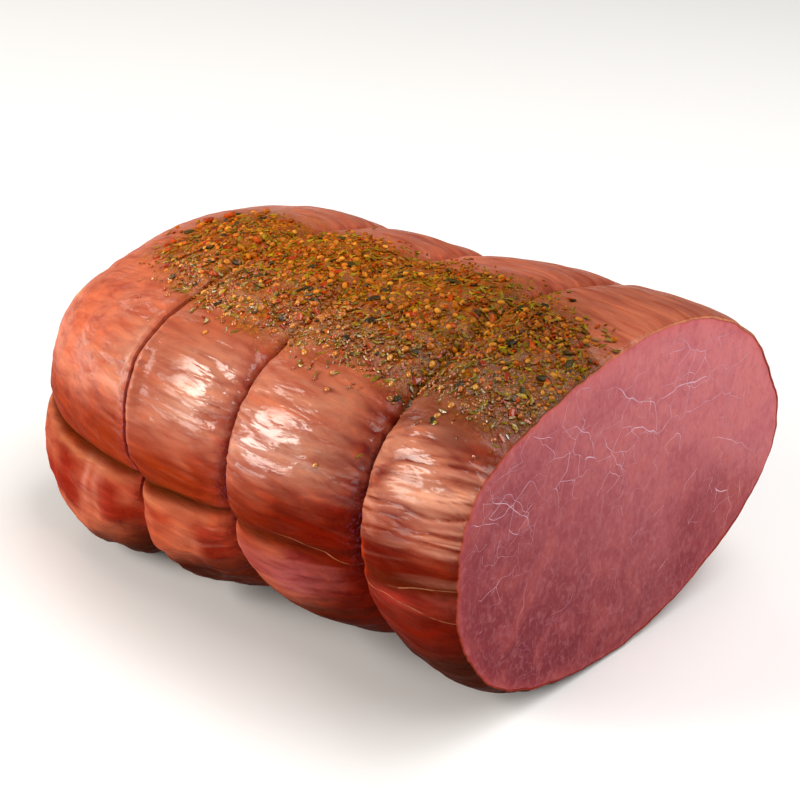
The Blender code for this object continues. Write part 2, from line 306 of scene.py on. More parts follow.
# Where the fine marbling gathers on the cut: centre, reach and how much of it shows there
Cluster = namedtuple("Cluster", "y z reach share")
CLUSTERS = (
    Cluster(0.006, 0.075, 0.013, 0.95),
    Cluster(0.026, 0.072, 0.014, 1.00),
    Cluster(0.045, 0.062, 0.010, 0.65),
    Cluster(0.018, 0.060, 0.013, 0.80),
    Cluster(-0.020, 0.069, 0.013, 0.95),
    Cluster(-0.002, 0.058, 0.013, 0.85),
    Cluster(-0.041, 0.063, 0.012, 0.90),
    Cluster(-0.047, 0.052, 0.008, 0.50),
    Cluster(0.041, 0.033, 0.012, 0.55),
    Cluster(0.053, 0.026, 0.007, 0.45),
    Cluster(-0.047, 0.042, 0.008, 0.50),
    Cluster(-0.036, 0.033, 0.007, 0.20),
    Cluster(-0.015, 0.025, 0.009, 0.10),
    Cluster(0.008, 0.030, 0.014, 0.12),
)
# The fine network of fat: size and unevenness of its cells, sway, height and depth of its ridges, how far
# it stays from the border, and its twigs
VEIN_CELL = 0.0058
VEIN_JITTER = 0.46
VEIN_STEPS = 7
VEIN_WOBBLE = 0.0009
VEIN_WOBBLE_CELL = 0.0026
VEIN_HEIGHT = 0.00005
VEIN_SINK = 0.00008
VEIN_BORDER = 0.0016
VEIN_THINNEST = 0.00002
TWIG_LENGTHS = (0.0015, 0.0045)
TWIG_TURN = 0.35
TWIG_EVERY = 6
# The main veins' steps, how quickly and how much they swell, and how pale the fine ones are beside them
MAIN_VEIN_STEP = 0.0006
MAIN_VEIN_CELL = 0.0022
MAIN_VEIN_SWELL = 1.6
FAINT_VEIN = 0.72
# The open grid that the finer seasoning is strewn over: margin past the strip, rows, and its first and last
# angle and how many it has
PATCH_MARGIN = 0.008
PATCH_ROWS = 150
PATCH_ANGLES = (66, 158, 130)
# The finer seasoning: smallest and largest scale, how ragged its edges are and how far it strays past them,
# in degrees, where it grows dense behind the rounded end, and where the far edge is bare there
STREWN_SIZES = (0.7, 1.2)
RAGGED_ANGLE = 4.5
STRAY_ANGLE = 7
DENSE_FROM_X = (-0.060, -0.026)
BARE_ANGLES = (84, 92)
BARE_BEFORE_X = (-0.020, 0.0)

# The camera's place, from the photograph's view
CAMERA_AZIMUTH = 43.87
CAMERA_ELEVATION = 28
CAMERA_DISTANCE = 0.5072
CAMERA_TARGET = (0.0082, 0, 0.045)
CAMERA_LENS = 85
CAMERA_SHIFT = (0.0139, 0.0025)
FLOOR_SIZE = 8
# The soft lights: direction that each comes from, width, height and colour
LIGHT_DISTANCE = 0.9
Light = namedtuple("Light", "name azimuth elevation width height colour")
LIGHTS = (
    Light("main", -35, 21, 0.42, 0.60, (1.0, 0.94, 0.86)),
    Light("left", -108, 28, 0.30, 0.30, (1.0, 0.96, 0.90)),
    Light("top", 150, 68, 0.60, 0.60, (1.0, 0.98, 0.95)),
    Light("side", 95, 48, 0.60, 0.60, (1.0, 0.98, 0.96)),
)

# The seasoning's finishes: colours that the grains take, mottling in cells to the metre, depth of the bumps
# in metres, and what else differs
FINISHES = {
    "mustard_seed": {
        "colours": ((196, 102, 8), (216, 126, 22), (228, 156, 50), (184, 80, 4)),
        "grain": 700, "depth": 0.00008, "Subsurface_Weight": 0.1, "Subsurface_Scale": 0.001},
    "coriander_seed": {
        "colours": ((150, 72, 4), (188, 104, 14), (128, 56, 2), (206, 128, 28)),
        "grain": 1100, "depth": 0.00015},
    "dried_herb": {
        "colours": ((128, 98, 0), (160, 128, 6), (98, 78, 0), (188, 154, 18)),
        "grain": 1200, "depth": 0.00012},
    "dark_leaf": {
        "colours": ((58, 42, 12), (82, 60, 16), (70, 58, 14), (48, 32, 8)),
        "grain": 1500, "depth": 0.00015, "glaze": 0.4},
    "red_flake": {
        "colours": ((178, 54, 0), (192, 76, 4), (150, 38, 0), (202, 94, 12)),
        "grain": 1000, "depth": 0.00012},
    "spice_crumb": {
        "colours": ((178, 92, 0), (212, 126, 8), (128, 96, 0), (142, 68, 0), (188, 72, 0), (158, 118, 4)),
        "grain": 1500, "depth": 0.00008},
}


def srgb(red, green, blue, alpha=1.0):
    """A linear colour from display values of 0 to 255."""
    parts = (red / 255, green / 255, blue / 255)
    return tuple(p / 12.92 if p <= 0.04045 else ((p + 0.055) / 1.055) ** 2.4 for p in parts) + (alpha,)


# Shape of the roast

def fade(angle, centre, reach):
    """1 at the centre angle, falling away smoothly over the reach, all in degrees."""
    away = (angle - centre + 180) % 360 - 180
    return np.exp(-(away / reach) ** 2)


def hill(value, centre, reach):
    """1 at the centre, falling away smoothly over the reach on both sides."""
    return np.exp(-((value - centre) / reach) ** 2)


def ramp_between(value, low, high):
    """0 below low, 1 above high and smooth between them."""
    t = np.clip((value - low) / (high - low), 0, 1)
    return t * t * (3 - 2 * t)


def between(value, start, full, past, end):
    """0 outside start and end, 1 from full to past, and smooth between them."""
    return ramp_between(value, start, full) * (1 - ramp_between(value, past, end))


def along(xs, values, x):
    """A smooth curve through values at the places xs, level beyond both ends."""
    xs, values = np.array(xs), np.array(values, float)
    slopes = np.gradient(values, xs)
    x = np.clip(x, xs[0], xs[-1])
    i = np.clip(np.searchsorted(xs, x, side="right") - 1, 0, len(xs) - 2)
    step = xs[i + 1] - xs[i]
    t = (x - xs[i]) / step
    start = (1 + 2 * t) * (1 - t) ** 2 * values[i] + t * (1 - t) ** 2 * step * slopes[i]
    end = t * t * (3 - 2 * t) * values[i + 1] - t * t * (1 - t) * step * slopes[i + 1]
    return start + end


def by_section(values, x):
    """The value at x of something given at every section."""
    return along([s.x for s in SECTIONS], values, x)


def section_value(name, x):
    """One measure of the cross section at x."""
    return by_section([getattr(s, name) for s in SECTIONS], x)


def tie_pull(x):
    """0 where the meat is plump, 1 at the bottom of a tie mark."""
    bounds = (FIRST_LOBE_X,) + TIE_MARKS_X + (TIE_MARKS_X[-1] + END_LOBE_LENGTH,)
    pull = np.zeros_like(x)
    for low, high, power in zip(bounds[:-1], bounds[1:], LOBE_POWERS):
        from_middle = np.abs(2 * (x - low) / (high - low) - 1)
        swell = np.clip(1 - from_middle ** power, 0, 1) ** (1 / power)
        pull = np.where((low <= x) & (x <= high), 1 - swell, pull)
    return pull


def tie_depth(x, angle):
    """Depth at an angle of the tie mark nearest to x."""
    side, rise = np.cos(np.radians(angle)), np.sin(np.radians(angle))
    depth = TIE_DEPTH_NEAR * np.maximum(-side, 0) + TIE_DEPTH_FAR * np.maximum(side, 0)
    depth = depth + TIE_DEPTH_TOP * np.maximum(rise, 0) ** 2 + TIE_DEPTH_BELOW * np.maximum(-rise, 0) ** 2
    nearest = np.argmin([np.abs(x - tie) for tie in TIE_MARKS_X], 0)
    return depth * (1 - np.array(TIE_EASES)[nearest] * fade(angle, TIE_EASE_ANGLE, TIE_EASE_REACH))


def seam_offset(x, angle):
    """Degrees below the lengthwise fold, negative above it."""
    return (angle - by_section(SEAM_ANGLES, x) + 180) % 360 - 180


def seam_pull(x, angle):
    """Depth of the fold: a rounded lip above it and a steeper side below it."""
    off = seam_offset(x, angle)
    above = np.exp(-(np.maximum(-off, 0) / SEAM_REACH_ABOVE) ** SEAM_LIP_POWER)
    below = np.exp(-np.maximum(off, 0) / SEAM_REACH_BELOW)
    return by_section(SEAM_DEPTHS, x) * np.where(off < 0, above, below)


def under_muscle(x, angle):
    """Swelling of the under muscle, largest at the rounded end."""
    height = along(UNDER_MUSCLE_PLACES_X, UNDER_MUSCLE_HEIGHTS, x)
    return height * fade(angle, UNDER_MUSCLE_ANGLE, UNDER_MUSCLE_SPREAD)


def lumps(x, angle):
    """Slow unevenness of the surface."""
    turn = np.radians(angle)
    return sum(w.height * np.sin(x * w.along + turn * w.round + w.start) for w in LUMPS)


def strip_cover(x, angle):
    """1 on the seasoned strip, falling to 0 past its edges."""
    inside = by_section(STRIP_HALF_ANGLES, x) - np.abs(angle - by_section(STRIP_ANGLES, x))
    across = 1 / (1 + np.exp(-inside / STRIP_EDGE_ANGLE))
    return across / (1 + np.exp((STRIP_START_X - x) / STRIP_EDGE_LENGTH))


def relief(x, angle):
    """Height of the solid's skin above the plain section."""
    to_cut = np.clip((x - TIE_MARKS_X[-1]) / (CUT_X - TIE_MARKS_X[-1]), 0, 1)
    height = sum(s.height * fade(angle, s.angle, s.reach) for s in SHOULDERS)
    height = height + to_cut ** 2 * sum(s.height * fade(angle, s.angle, s.reach) for s in CUT_END_FLATS)
    height = height + under_muscle(x, angle) + lumps(x, angle) + STRIP_RISE * strip_cover(x, angle)
    return height - tie_pull(x) * tie_depth(x, angle) - seam_pull(x, angle)


def into_dome(x):
    """0 along the roast's length, 1 at the tip of the dome."""
    return np.clip((DOME_START_X - x) / (DOME_START_X - ROUND_END_X), 0, 1)


def skin_places(x, angle, extra=0.0):
    """Points of the skin at nominal x and angles, with extra height on top of the solid's relief."""
    size = np.sqrt(1 - into_dome(x) ** 2) ** DOME_POWER
    side, rise = np.cos(np.radians(angle)), np.sin(np.radians(angle))
    width, height = section_value("half_width", x), section_value("half_height", x)
    round_side = np.copysign(np.abs(side) ** (2 / ROUNDNESS), side)
    round_rise = np.copysign(np.abs(rise) ** (2 / ROUNDNESS), rise)
    out_y, out_z = side / width, rise / height
    length = np.hypot(out_y, out_z)
    bulge = relief(x, angle) + extra
    y = section_value("centre_y", x) + size * (width * round_side + bulge * out_y / length)
    z = height + section_value("lift", x) + size * (height * round_rise + bulge * out_z / length)
    reach = UNDER_REACH * into_dome(x) * size * fade(angle, UNDER_REACH_ANGLE, UNDER_REACH_SPREAD)
    return np.stack([x - reach + CENTRING_X, y, np.maximum(z, 0.0)], -1)


# Fine relief, from smooth seeded noise

def noise(u, v, seed, turns=LATTICE[1]):
    """Smooth noise from -1 to 1 over cells of u and v, the same after so many turns of v."""
    table = np.random.default_rng(seed).uniform(-1, 1, (LATTICE[0], turns))
    u0, v0 = np.floor(u).astype(int), np.floor(v).astype(int)
    fu, fv = u - u0, v - v0
    fu, fv = fu * fu * (3 - 2 * fu), fv * fv * (3 - 2 * fv)
    low_u, high_u = u0 % LATTICE[0], (u0 + 1) % LATTICE[0]
    low_v, high_v = v0 % turns, (v0 + 1) % turns
    low = table[low_u, low_v] * (1 - fv) + table[low_u, high_v] * fv
    high = table[high_u, low_v] * (1 - fv) + table[high_u, high_v] * fv
    return low * (1 - fu) + high * fu


def tie_closeness(x, reach):
    """1 at a tie mark, falling to 0 over the reach on both sides."""
    return np.max([np.exp(-np.abs(x - tie) / reach) for tie in TIE_MARKS_X], 0)


def beside_ties(x, before, after):
    """Strength near the tie marks, from a strength and a reach before and after each of them."""
    sides = []
    for tie, ahead, behind in zip(TIE_MARKS_X, before, after):
        here, beyond = (strength * np.exp(-np.abs(x - tie) / reach) for strength, reach in (ahead, behind))
        sides.append(np.where(x <= tie, here, beyond))
    return np.max(sides, 0)


def swell_place(x):
    """Number of the swell that x lies on, and the share of its length that lies before x."""
    ends = np.array((ROUND_END_X,) + TIE_MARKS_X + (CUT_X,))
    number = np.clip(np.searchsorted(ends, x, side="right") - 1, 0, len(ends) - 2)
    return number, (x - ends[number]) / (ends[number + 1] - ends[number])


def pleat_share(x, angle):
    """How strong the lengthwise folds are: beside the tie marks, and all along the last swell's near side."""
    sides = 0.45 + 0.55 * fade(angle, 160, 42) + 0.25 * fade(angle, 20, 45)
    bare = 1 - 0.75 * strip_cover(x, angle)
    last = np.clip((x - TIE_MARKS_X[-1]) / 0.003, 0, 1) * fade(angle, 154, 20)
    at_tie = 1 - PLEAT_CLEAR_SHARE * tie_closeness(x, PLEAT_CLEAR_REACH)
    return bare * sides * at_tie * np.maximum(beside_ties(x, PLEATS_BEFORE, PLEATS_AFTER), 1.15 * last)


def pleats(x, angle):
    """Rounded folds with narrow creases between them, from 0 in a crease to 1 on a fold."""
    number, _ = swell_place(x)
    starts = np.array((ROUND_END_X,) + TIE_MARKS_X)
    slanted = angle - np.array(PLEAT_SLANTS)[number] * (x - starts[number])
    bend = PLEAT_BEND * noise(x / 0.011, angle / 9, SEED + 1, 40)
    made = []
    for turns, length, bent in PLEAT_KINDS:
        wide = noise(x / length, slanted * turns / 360 + bent * bend, SEED + 2, turns)
        fine = noise(x / (length / 2), slanted * turns * 2 / 360 + bent * bend, SEED + 3, turns * 2)
        wide, fine = (np.clip(np.abs(v) * 1.5, 0, 1) for v in (wide, fine))
        made.append(wide ** 0.7 * 0.75 + fine * 0.25)
    return np.where(number == len(TIE_MARKS_X), made[1], made[0])


def folds(x, angle):
    """Slow wrinkles of the skin, a few millimetres apart and longer than wide."""
    return noise(x / 0.013 + 7, angle / 4, SEED + 4, 90) + 0.5 * noise(x / 0.006, angle / 2, SEED + 5, 180)


def ground_grain(x, angle):
    """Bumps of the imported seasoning."""
    turns = 180
    return noise(x / GROUND_GRAIN, angle * turns / 360, SEED + 6, turns)


def under_lumps(x, angle):
    """Unevenness of the under muscle at the rounded end: lumps, and ridges where the membrane pulls it in."""
    window = between(seam_offset(x, angle), 3, 9, 38, 62) * (1 - ramp_between(x, 0.002, 0.016))
    lump = noise(x / 0.0055, angle / 6, SEED + 9, 60) + 0.5 * noise(x / 0.0028, angle / 3, SEED + 10, 120)
    ridges = noise(x / 0.0032, angle / 30, SEED + 11, 12) * hill(x, MEMBRANE_X, 0.008)
    return window * (lump + 0.8 * ridges)


def fine_relief(x, angle, sizes):
    """Extra height of the skin: pleats, notches, the fold's crease, wrinkles, lumps and packed spice."""
    strip = strip_cover(x, angle)
    pleat_height = sizes.pleat_height * np.where(x > TIE_MARKS_X[-1], LAST_PLEATS_HEIGHT, 1.0)
    height = pleat_height * pleat_share(x, angle) * (pleats(x, angle) - 0.45)
    height = height + sizes.fold_height * (1 - 0.5 * strip) * folds(x, angle)
    notch = sizes.tie_notch * np.where(x < 0, 0.5, 1.0) * tie_closeness(x, TIE_NOTCH_REACH)
    height = height - notch * (0.6 + 0.4 * fade(angle, 180, 90))
    for tie, fill in zip(TIE_MARKS_X, TIE_FILLS):
        height = height + fill * hill(x, tie, TIE_FILL_REACH) * fade(angle, TIE_FILL_ANGLE, 24)
    crease = np.exp(-np.abs(seam_offset(x, angle)) / SEAM_CREASE_ANGLE)
    height = height - sizes.seam_crease * crease * by_section(SEAM_DEPTHS, x) / max(SEAM_DEPTHS)
    height = height + sizes.under_lumps * under_lumps(x, angle)
    return height + sizes.ground_height * strip * ground_grain(x, angle)


def skin_rings():
    """Nominal x of every ring: evenly spaced over the dome, crowded at the tie marks."""
    turn = np.linspace(0, math.pi / 2, 4000)
    length = (DOME_START_X - ROUND_END_X) * (1 - np.cos(turn))
    radius = SECTIONS[0].half_width * np.sin(turn) ** DOME_POWER
    path = np.concatenate([[0], np.cumsum(np.hypot(np.diff(length), np.diff(radius)))])
    turns = np.interp(np.linspace(0, path[-1], DOME_RINGS + 1)[1:-1], path, turn)
    places = list(DOME_START_X - (DOME_START_X - ROUND_END_X) * np.cos(turns))
    for k in range(SHOULDER_RINGS):
        share = math.sin(math.radians(90 * k / SHOULDER_RINGS))
        places.append(DOME_START_X + (TIE_MARKS_X[0] - DOME_START_X) * share)
    for low, high in zip(TIE_MARKS_X, TIE_MARKS_X[1:] + (CUT_X,)):
        last_turn = math.radians(END_LOBE_TURN if high == CUT_X else LOBE_TURN)
        for k in range(LOBE_RINGS):
            share = (1 - math.cos(last_turn * k / LOBE_RINGS)) / (1 - math.cos(last_turn))
            places.append(low + (high - low) * share)
    places.append(CUT_X)
    return np.array(places)


def skin_angles(x, sides):
    """Angles of a ring's corners: they are closest together beside the fold."""
    steps = 360 * np.arange(sides) / sides
    crowd = np.degrees(SEAM_CROWDING * np.sin(np.radians(steps)))
    return (by_section(SEAM_ANGLES, x)[:, None] + (steps - crowd)[None, :]) % 360


def inset(outline, width):
    """A closed outline in the plane of the cut, moved inwards."""
    before, after = np.roll(outline, 1, 0), np.roll(outline, -1, 0)
    run = after - before
    run = run / np.linalg.norm(run, axis=1, keepdims=True)
    inward = np.stack([np.zeros(len(run)), -run[:, 2], run[:, 1]], -1)
    middle = outline.mean(0)
    facing = np.sign(np.sum(inward * (middle - outline), 1, keepdims=True))
    return outline + inward * facing * width


def finished(shape, name, smooth=False):
    """A mesh with this name from a shape under construction, which is freed."""
    mesh = bpy.data.meshes.new(name)
    shape.to_mesh(mesh)
    shape.free()
    if smooth:
        mesh.shade_smooth()
        mesh.set_sharp_from_angle(angle=math.radians(SHARP_ANGLE))
    return mesh


def mesh_of_rings(name, rows, first_pole, last_pole):
    """A closed mesh from rings of corners, with a fan to a pole at each end."""
    sides = rows.shape[1]
    corners = np.concatenate([rows.reshape(-1, 3), [first_pole, last_pole]])
    first, last = len(corners) - 2, len(corners) - 1
    here = np.arange(sides)
    after = (here + 1) % sides
    faces = []
    for r in range(len(rows) - 1):
        low, high = r * sides, (r + 1) * sides
        faces += np.stack([low + here, low + after, high + after, high + here], -1).tolist()
    faces += [[first, int(b), int(a)] for a, b in zip(here, after)]
    end = (len(rows) - 1) * sides
    faces += [[last, int(end + a), int(end + b)] for a, b in zip(here, after)]
    mesh = bpy.data.meshes.new(name)
    mesh.from_pydata(corners.tolist(), [], faces)
    shape = bmesh.new()
    shape.from_mesh(mesh)
    bmesh.ops.recalc_face_normals(shape, faces=shape.faces)
    shape.to_mesh(mesh)
    shape.free()
    mesh.shade_smooth()
    mesh.set_sharp_from_angle(angle=math.radians(SHARP_ANGLE))
    return mesh


def paint(mesh, name, values):
    """Store a number or a colour for every corner of a mesh."""
    values = np.asarray(values, np.float32)
    if values.ndim == 1:
        mesh.attributes.new(name, "FLOAT", "POINT").data.foreach_set("value", values)
    else:
        mesh.attributes.new(name, "FLOAT_COLOR", "POINT").data.foreach_set("color", values.ravel())


def link(name, mesh):
    """A new object at the origin that shows a mesh, or a new light or camera."""
    piece = bpy.data.objects.new(name, mesh)
    bpy.context.scene.collection.objects.link(piece)
    return piece


def declare(piece, slot, *replaced):
    """Attach a finished piece to the root body and hide the solids that it stands for; the slot is not used.
    """
    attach(piece, "root")
    if replaced:
        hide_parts(*replaced)


# Materials

def add(tree, kind, inputs=(), **settings):
    """Add a node, set its options, and set or link its inputs."""
    made = tree.nodes.new(kind)
    for key, value in settings.items():
        setattr(made, key, value)
    for socket, value in dict(inputs).items():
        if isinstance(value, bpy.types.NodeSocket):
            tree.links.new(value, made.inputs[socket])
        else:
            made.inputs[socket].default_value = value
    return made


def new_material(name, **sockets):
    """A material whose Principled shader has these constant values, its node tree and its shader."""
    material = bpy.data.materials.new(name)
    material.use_nodes = True
    shader = material.node_tree.nodes["Principled BSDF"]
    for socket, value in sockets.items():
        shader.inputs[socket.replace("_", " ")].default_value = value
    return material, material.node_tree, shader


def object_place(tree, scale):
    """Object coordinates times a scale for each axis."""
    where = add(tree, "ShaderNodeTexCoord").outputs["Object"]
    return add(tree, "ShaderNodeMapping", {"Vector": where, "Scale": scale}).outputs["Vector"]


def noise_value(tree, scale, detail=2.0, stretch=(1, 1, 1), distortion=0.0):
    """Noise in object space, from 0 to 1; scale is in cells to the metre."""
    place = object_place(tree, stretch)
    inputs = {"Vector": place, "Scale": scale, "Detail": detail, "Distortion": distortion}
    return add(tree, "ShaderNodeTexNoise", inputs).outputs["Fac"]


def spread(tree, value, low, high, to_low=0.0, to_high=1.0):
    """A value from low to high, taken to another range and kept inside it."""
    inputs = {"Value": value, "From Min": low, "From Max": high, "To Min": to_low, "To Max": to_high}
    return add(tree, "ShaderNodeMapRange", inputs).outputs["Result"]


def blend(tree, factor, first, second, kind="MIX"):
    """Two colours mixed by a factor."""
    inputs = {0: factor, 6: first, 7: second}
    return add(tree, "ShaderNodeMix", inputs, data_type="RGBA", blend_type=kind).outputs[2]


def mottled(tree, colour, layers):
    """A colour with tones laid over it in turn.

    Each layer says the value that it follows, where it starts to show and where it shows in full, how strong
    it is there, its display colour and how it is mixed in.
    """
    for value, start, full, strength, tone, kind in layers:
        colour = blend(tree, spread(tree, value, start, full, 0, strength), colour, srgb(*tone), kind)
    return colour


def times(tree, first, second, operation="MULTIPLY"):
    """Two numbers multiplied, or joined by another sum."""
    return add(tree, "ShaderNodeMath", {0: first, 1: second}, operation=operation).outputs[0]


def attribute(tree, name, output="Fac"):
    """A value painted on the mesh."""
    return add(tree, "ShaderNodeAttribute", attribute_name=name).outputs[output]


def bump_chain(tree, heights):
    """Bumps one over another, each a height from 0 to 1 and its depth in metres."""
    normal = None
    for height, depth in heights:
        inputs = {"Height": height, "Distance": depth, "Strength": 1.0}
        if normal is not None:
            inputs["Normal"] = normal
        normal = add(tree, "ShaderNodeBump", inputs).outputs["Normal"]
    return normal


def bump(tree, shader, heights, coat_heights=None):
    """Give the shader its bumps, and its coat the same or gentler ones."""
    tree.links.new(bump_chain(tree, heights), shader.inputs["Normal"])
    tree.links.new(bump_chain(tree, coat_heights or heights), shader.inputs["Coat Normal"])


def skin_material():
    """Moist cured skin: mottled, faintly streaked along the roast, glossy where it was painted so."""
    material, tree, shader = new_material(
        "cured_skin", Subsurface_Weight=0.05, Subsurface_Scale=0.002, Coat_Roughness=0.16, Coat_IOR=1.75,
        Specular_IOR_Level=0.01)
    shader.inputs["Subsurface Radius"].default_value = (1.0, 0.25, 0.12)
    painted = attribute(tree, "skin_colour", "Color")
    cover = attribute(tree, "season_cover")
    streaks = noise_value(tree, 420, 3, (0.13, 1, 1), 0.5)
    mottle = noise_value(tree, 120, 4, (0.7, 1, 1), 0.8)
    specks = noise_value(tree, 1500, 2)
    colour = mottled(tree, painted, (
        (streaks, 0.50, 0.70, 0.46, (190, 96, 72), "MULTIPLY"),
        (streaks, 0.48, 0.28, 0.46, (255, 232, 210), "SOFT_LIGHT"),
        (mottle, 0.54, 0.72, 0.24, (255, 214, 186), "SOFT_LIGHT"),
        (mottle, 0.48, 0.30, 0.26, (214, 96, 66), "MULTIPLY"),
        (specks, 0.68, 0.78, 0.25, (96, 28, 10), "MIX"),
    ))
    for line in ("fold_line", "strand_line"):
        away = times(tree, attribute(tree, line), 0.0, "ABSOLUTE")
        fat = times(tree, spread(tree, away, FAT_LINE_REACH, 0.0), attribute(tree, f"{line}_share"))
        fat = times(tree, fat, spread(tree, noise_value(tree, 300, 2), 0.36, 0.56, 0.15, 1.0))
        colour = blend(tree, fat, colour, srgb(214, 152, 108))
    colour = blend(tree, cover, colour, seasoned_ground(tree))
    violet = times(tree, attribute(tree, "tie_wet"), spread(tree, noise_value(tree, 1500, 1), 0.54, 0.62))
    colour = blend(tree, violet, colour, srgb(140, 88, 128))
    tree.links.new(colour, shader.inputs["Base Color"])
    rough = spread(tree, noise_value(tree, 260, 3), 0.3, 0.7, 0.40, 0.60)
    tree.links.new(rough, shader.inputs["Roughness"])
    gloss = attribute(tree, "gloss")
    wet = times(tree, gloss, spread(tree, noise_value(tree, 330, 3, (0.28, 1, 1), 0.6), 0.30, 0.54))
    tree.links.new(wet, shader.inputs["Coat Weight"])
    season = (times(tree, cover, noise_value(tree, 1100, 3)), 0.0010)
    broad = (noise_value(tree, 240, 2, (0.35, 1, 1), 0.4), 0.0006)
    narrow = (noise_value(tree, 620, 2, (0.18, 1, 1), 0.4), 0.0003)
    streaky = (noise_value(tree, 420, 3, (0.16, 1, 1), 0.5), 0.0005)
    pores = (noise_value(tree, 1000, 3), 0.00012)
    bump(tree, shader, [streaky, pores, season], [broad, narrow, season])
    return material


def ramp(tree, value, colours, interpolation="LINEAR"):
    """Display colours evenly spaced over values of 0 to 1."""
    made = add(tree, "ShaderNodeValToRGB", {"Fac": value})
    made.color_ramp.interpolation = interpolation
    steps = len(colours) if interpolation == "CONSTANT" else len(colours) - 1
    for k in range(2, len(colours)):
        made.color_ramp.elements.new(k / steps)
    for k, colour in enumerate(colours):
        made.color_ramp.elements[k].position = k / steps
        made.color_ramp.elements[k].color = srgb(*colour)
    return made.outputs["Color"]


def seasoned_ground(tree):
    """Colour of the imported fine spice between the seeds: grains of orange, gold, olive and brown."""
    cells = add(tree, "ShaderNodeTexVoronoi", {"Vector": object_place(tree, (1, 1, 1)), "Scale": 950})
    which = add(tree, "ShaderNodeSeparateColor", {0: cells.outputs["Color"]}).outputs[0]
    colours = ((134, 66, 0), (168, 94, 4), (104, 80, 0), (184, 108, 8), (154, 50, 0), (106, 54, 0))
    grains = ramp(tree, which, colours, "CONSTANT")
    packed = blend(tree, noise_value(tree, 320, 3), grains, srgb(150, 74, 2))
    place = add(tree, "ShaderNodeSeparateXYZ", {0: object_place(tree, (1, 1, 1))}).outputs["X"]
    return mottled(tree, packed, ((place, 0.010, 0.070, 0.8, (176, 186, 180), "MULTIPLY"),))


def face_material():
    """Moist cut meat: rose pink with short fibres and faint pale veins."""
    material, tree, shader = new_material(
        "cut_meat", Roughness=0.55, Subsurface_Weight=0.15, Subsurface_Scale=0.0015,
        Coat_Weight=0.02, Coat_Roughness=0.35, Specular_IOR_Level=0.06)
    shader.inputs["Subsurface Radius"].default_value = (1.0, 0.4, 0.3)
    painted = attribute(tree, "cut_colour", "Color")
    fibres = noise_value(tree, 900, 3, (0.4, 1.0, 0.50), 1.0)
    patches = noise_value(tree, 480, 4, (0.6, 1.0, 0.8), 0.8)
    clouds = noise_value(tree, 70, 5, (1, 1, 1), 0.9)
    colour = mottled(tree, painted, (
        (clouds, 0.46, 0.66, 0.34, (206, 164, 190), "MULTIPLY"),
        (clouds, 0.48, 0.30, 0.30, (196, 96, 88), "MIX"),
        (patches, 0.50, 0.72, 0.20, (204, 128, 128), "MIX"),
        (patches, 0.48, 0.30, 0.22, (126, 40, 56), "MIX"),
        (fibres, 0.52, 0.74, 0.16, (214, 142, 152), "MIX"),
        (fibres, 0.46, 0.28, 0.14, (122, 40, 56), "MIX"),
    ))
    inputs = {"Vector": object_place(tree, (1, 1, 1)), "Scale": 140, "Detail": 3}
    warp = add(tree, "ShaderNodeTexNoise", inputs).outputs["Color"]
    bent = add(tree, "ShaderNodeVectorMath", {0: warp, "Scale": 0.006}, operation="SCALE").outputs[0]
    place = add(tree, "ShaderNodeVectorMath", {0: object_place(tree, (1, 1, 1)), 1: bent}).outputs[0]
    cells = add(tree, "ShaderNodeTexVoronoi", {"Vector": place, "Scale": 230}, feature="DISTANCE_TO_EDGE")
    lines = spread(tree, cells.outputs["Distance"], 0.04, 0.0)
    where = spread(tree, noise_value(tree, 75, 2), 0.48, 0.68, 0, 0.15)
    colour = blend(tree, times(tree, lines, where), colour, srgb(206, 150, 176))
    tree.links.new(colour, shader.inputs["Base Color"])
    bump(tree, shader, [(fibres, 0.00010), (noise_value(tree, 420, 3), 0.00006)])
    return material


def marbling_material():
    """Thin fat, faintly lavender: nearly white in the main veins and close to the meat in the faint ones."""
    material, tree, shader = new_material(
        "marbling_fat", Roughness=0.45, Subsurface_Weight=0.2, Subsurface_Scale=0.001,
        Coat_Weight=0.1, Coat_Roughness=0.3, Specular_IOR_Level=0.25)
    pale = attribute(tree, "vein_tone")
    tone = times(tree, pale, spread(tree, noise_value(tree, 420, 3), 0.3, 0.6, 0.7, 1.0))
    colour = blend(tree, tone, srgb(178, 98, 112), srgb(218, 172, 188))
    tree.links.new(colour, shader.inputs["Base Color"])
    bump(tree, shader, [(noise_value(tree, 1500, 2), 0.00005)])
    return material


def seasoning_material(name, colours, grain, depth, glaze=0.9, **sockets):
    """One kind of seasoning: a colour for each grain by its tint, mottled, and glazed on the near side."""
    values = {"Roughness": 0.5, "Coat_IOR": 1.7, "Coat_Roughness": 0.06, "Specular_IOR_Level": 0.02}
    values.update(sockets)
    material, tree, shader = new_material(name, **values)
    patches = noise_value(tree, grain, 3)
    own = ramp(tree, attribute(tree, "tint"), colours)
    place = add(tree, "ShaderNodeSeparateXYZ", {0: object_place(tree, (1, 1, 1))}).outputs
    colour = mottled(tree, own, (
        (patches, 0.38, 0.7, 0.6, (178, 92, 24), "MULTIPLY"),
        (place["X"], 0.0, 0.060, 1.0, (214, 222, 216), "MULTIPLY"),
    ))
    tree.links.new(colour, shader.inputs["Base Color"])
    tree.links.new(spread(tree, place["Y"], -0.024, -0.042, 0.15, glaze), shader.inputs["Coat Weight"])
    bump(tree, shader, [(noise_value(tree, grain * 1.4, 2), depth)])
    return material


def floor_material():
    """Matt pale board with the faintest unevenness."""
    material, tree, shader = new_material("pale_floor", Roughness=0.7, Specular_IOR_Level=0.2)
    pale = blend(tree, noise_value(tree, 3, 2), (0.90, 0.90, 0.90, 1), (0.94, 0.94, 0.94, 1))
    tree.links.new(pale, shader.inputs["Base Color"])
    return material


# Colours of the skin, painted by place

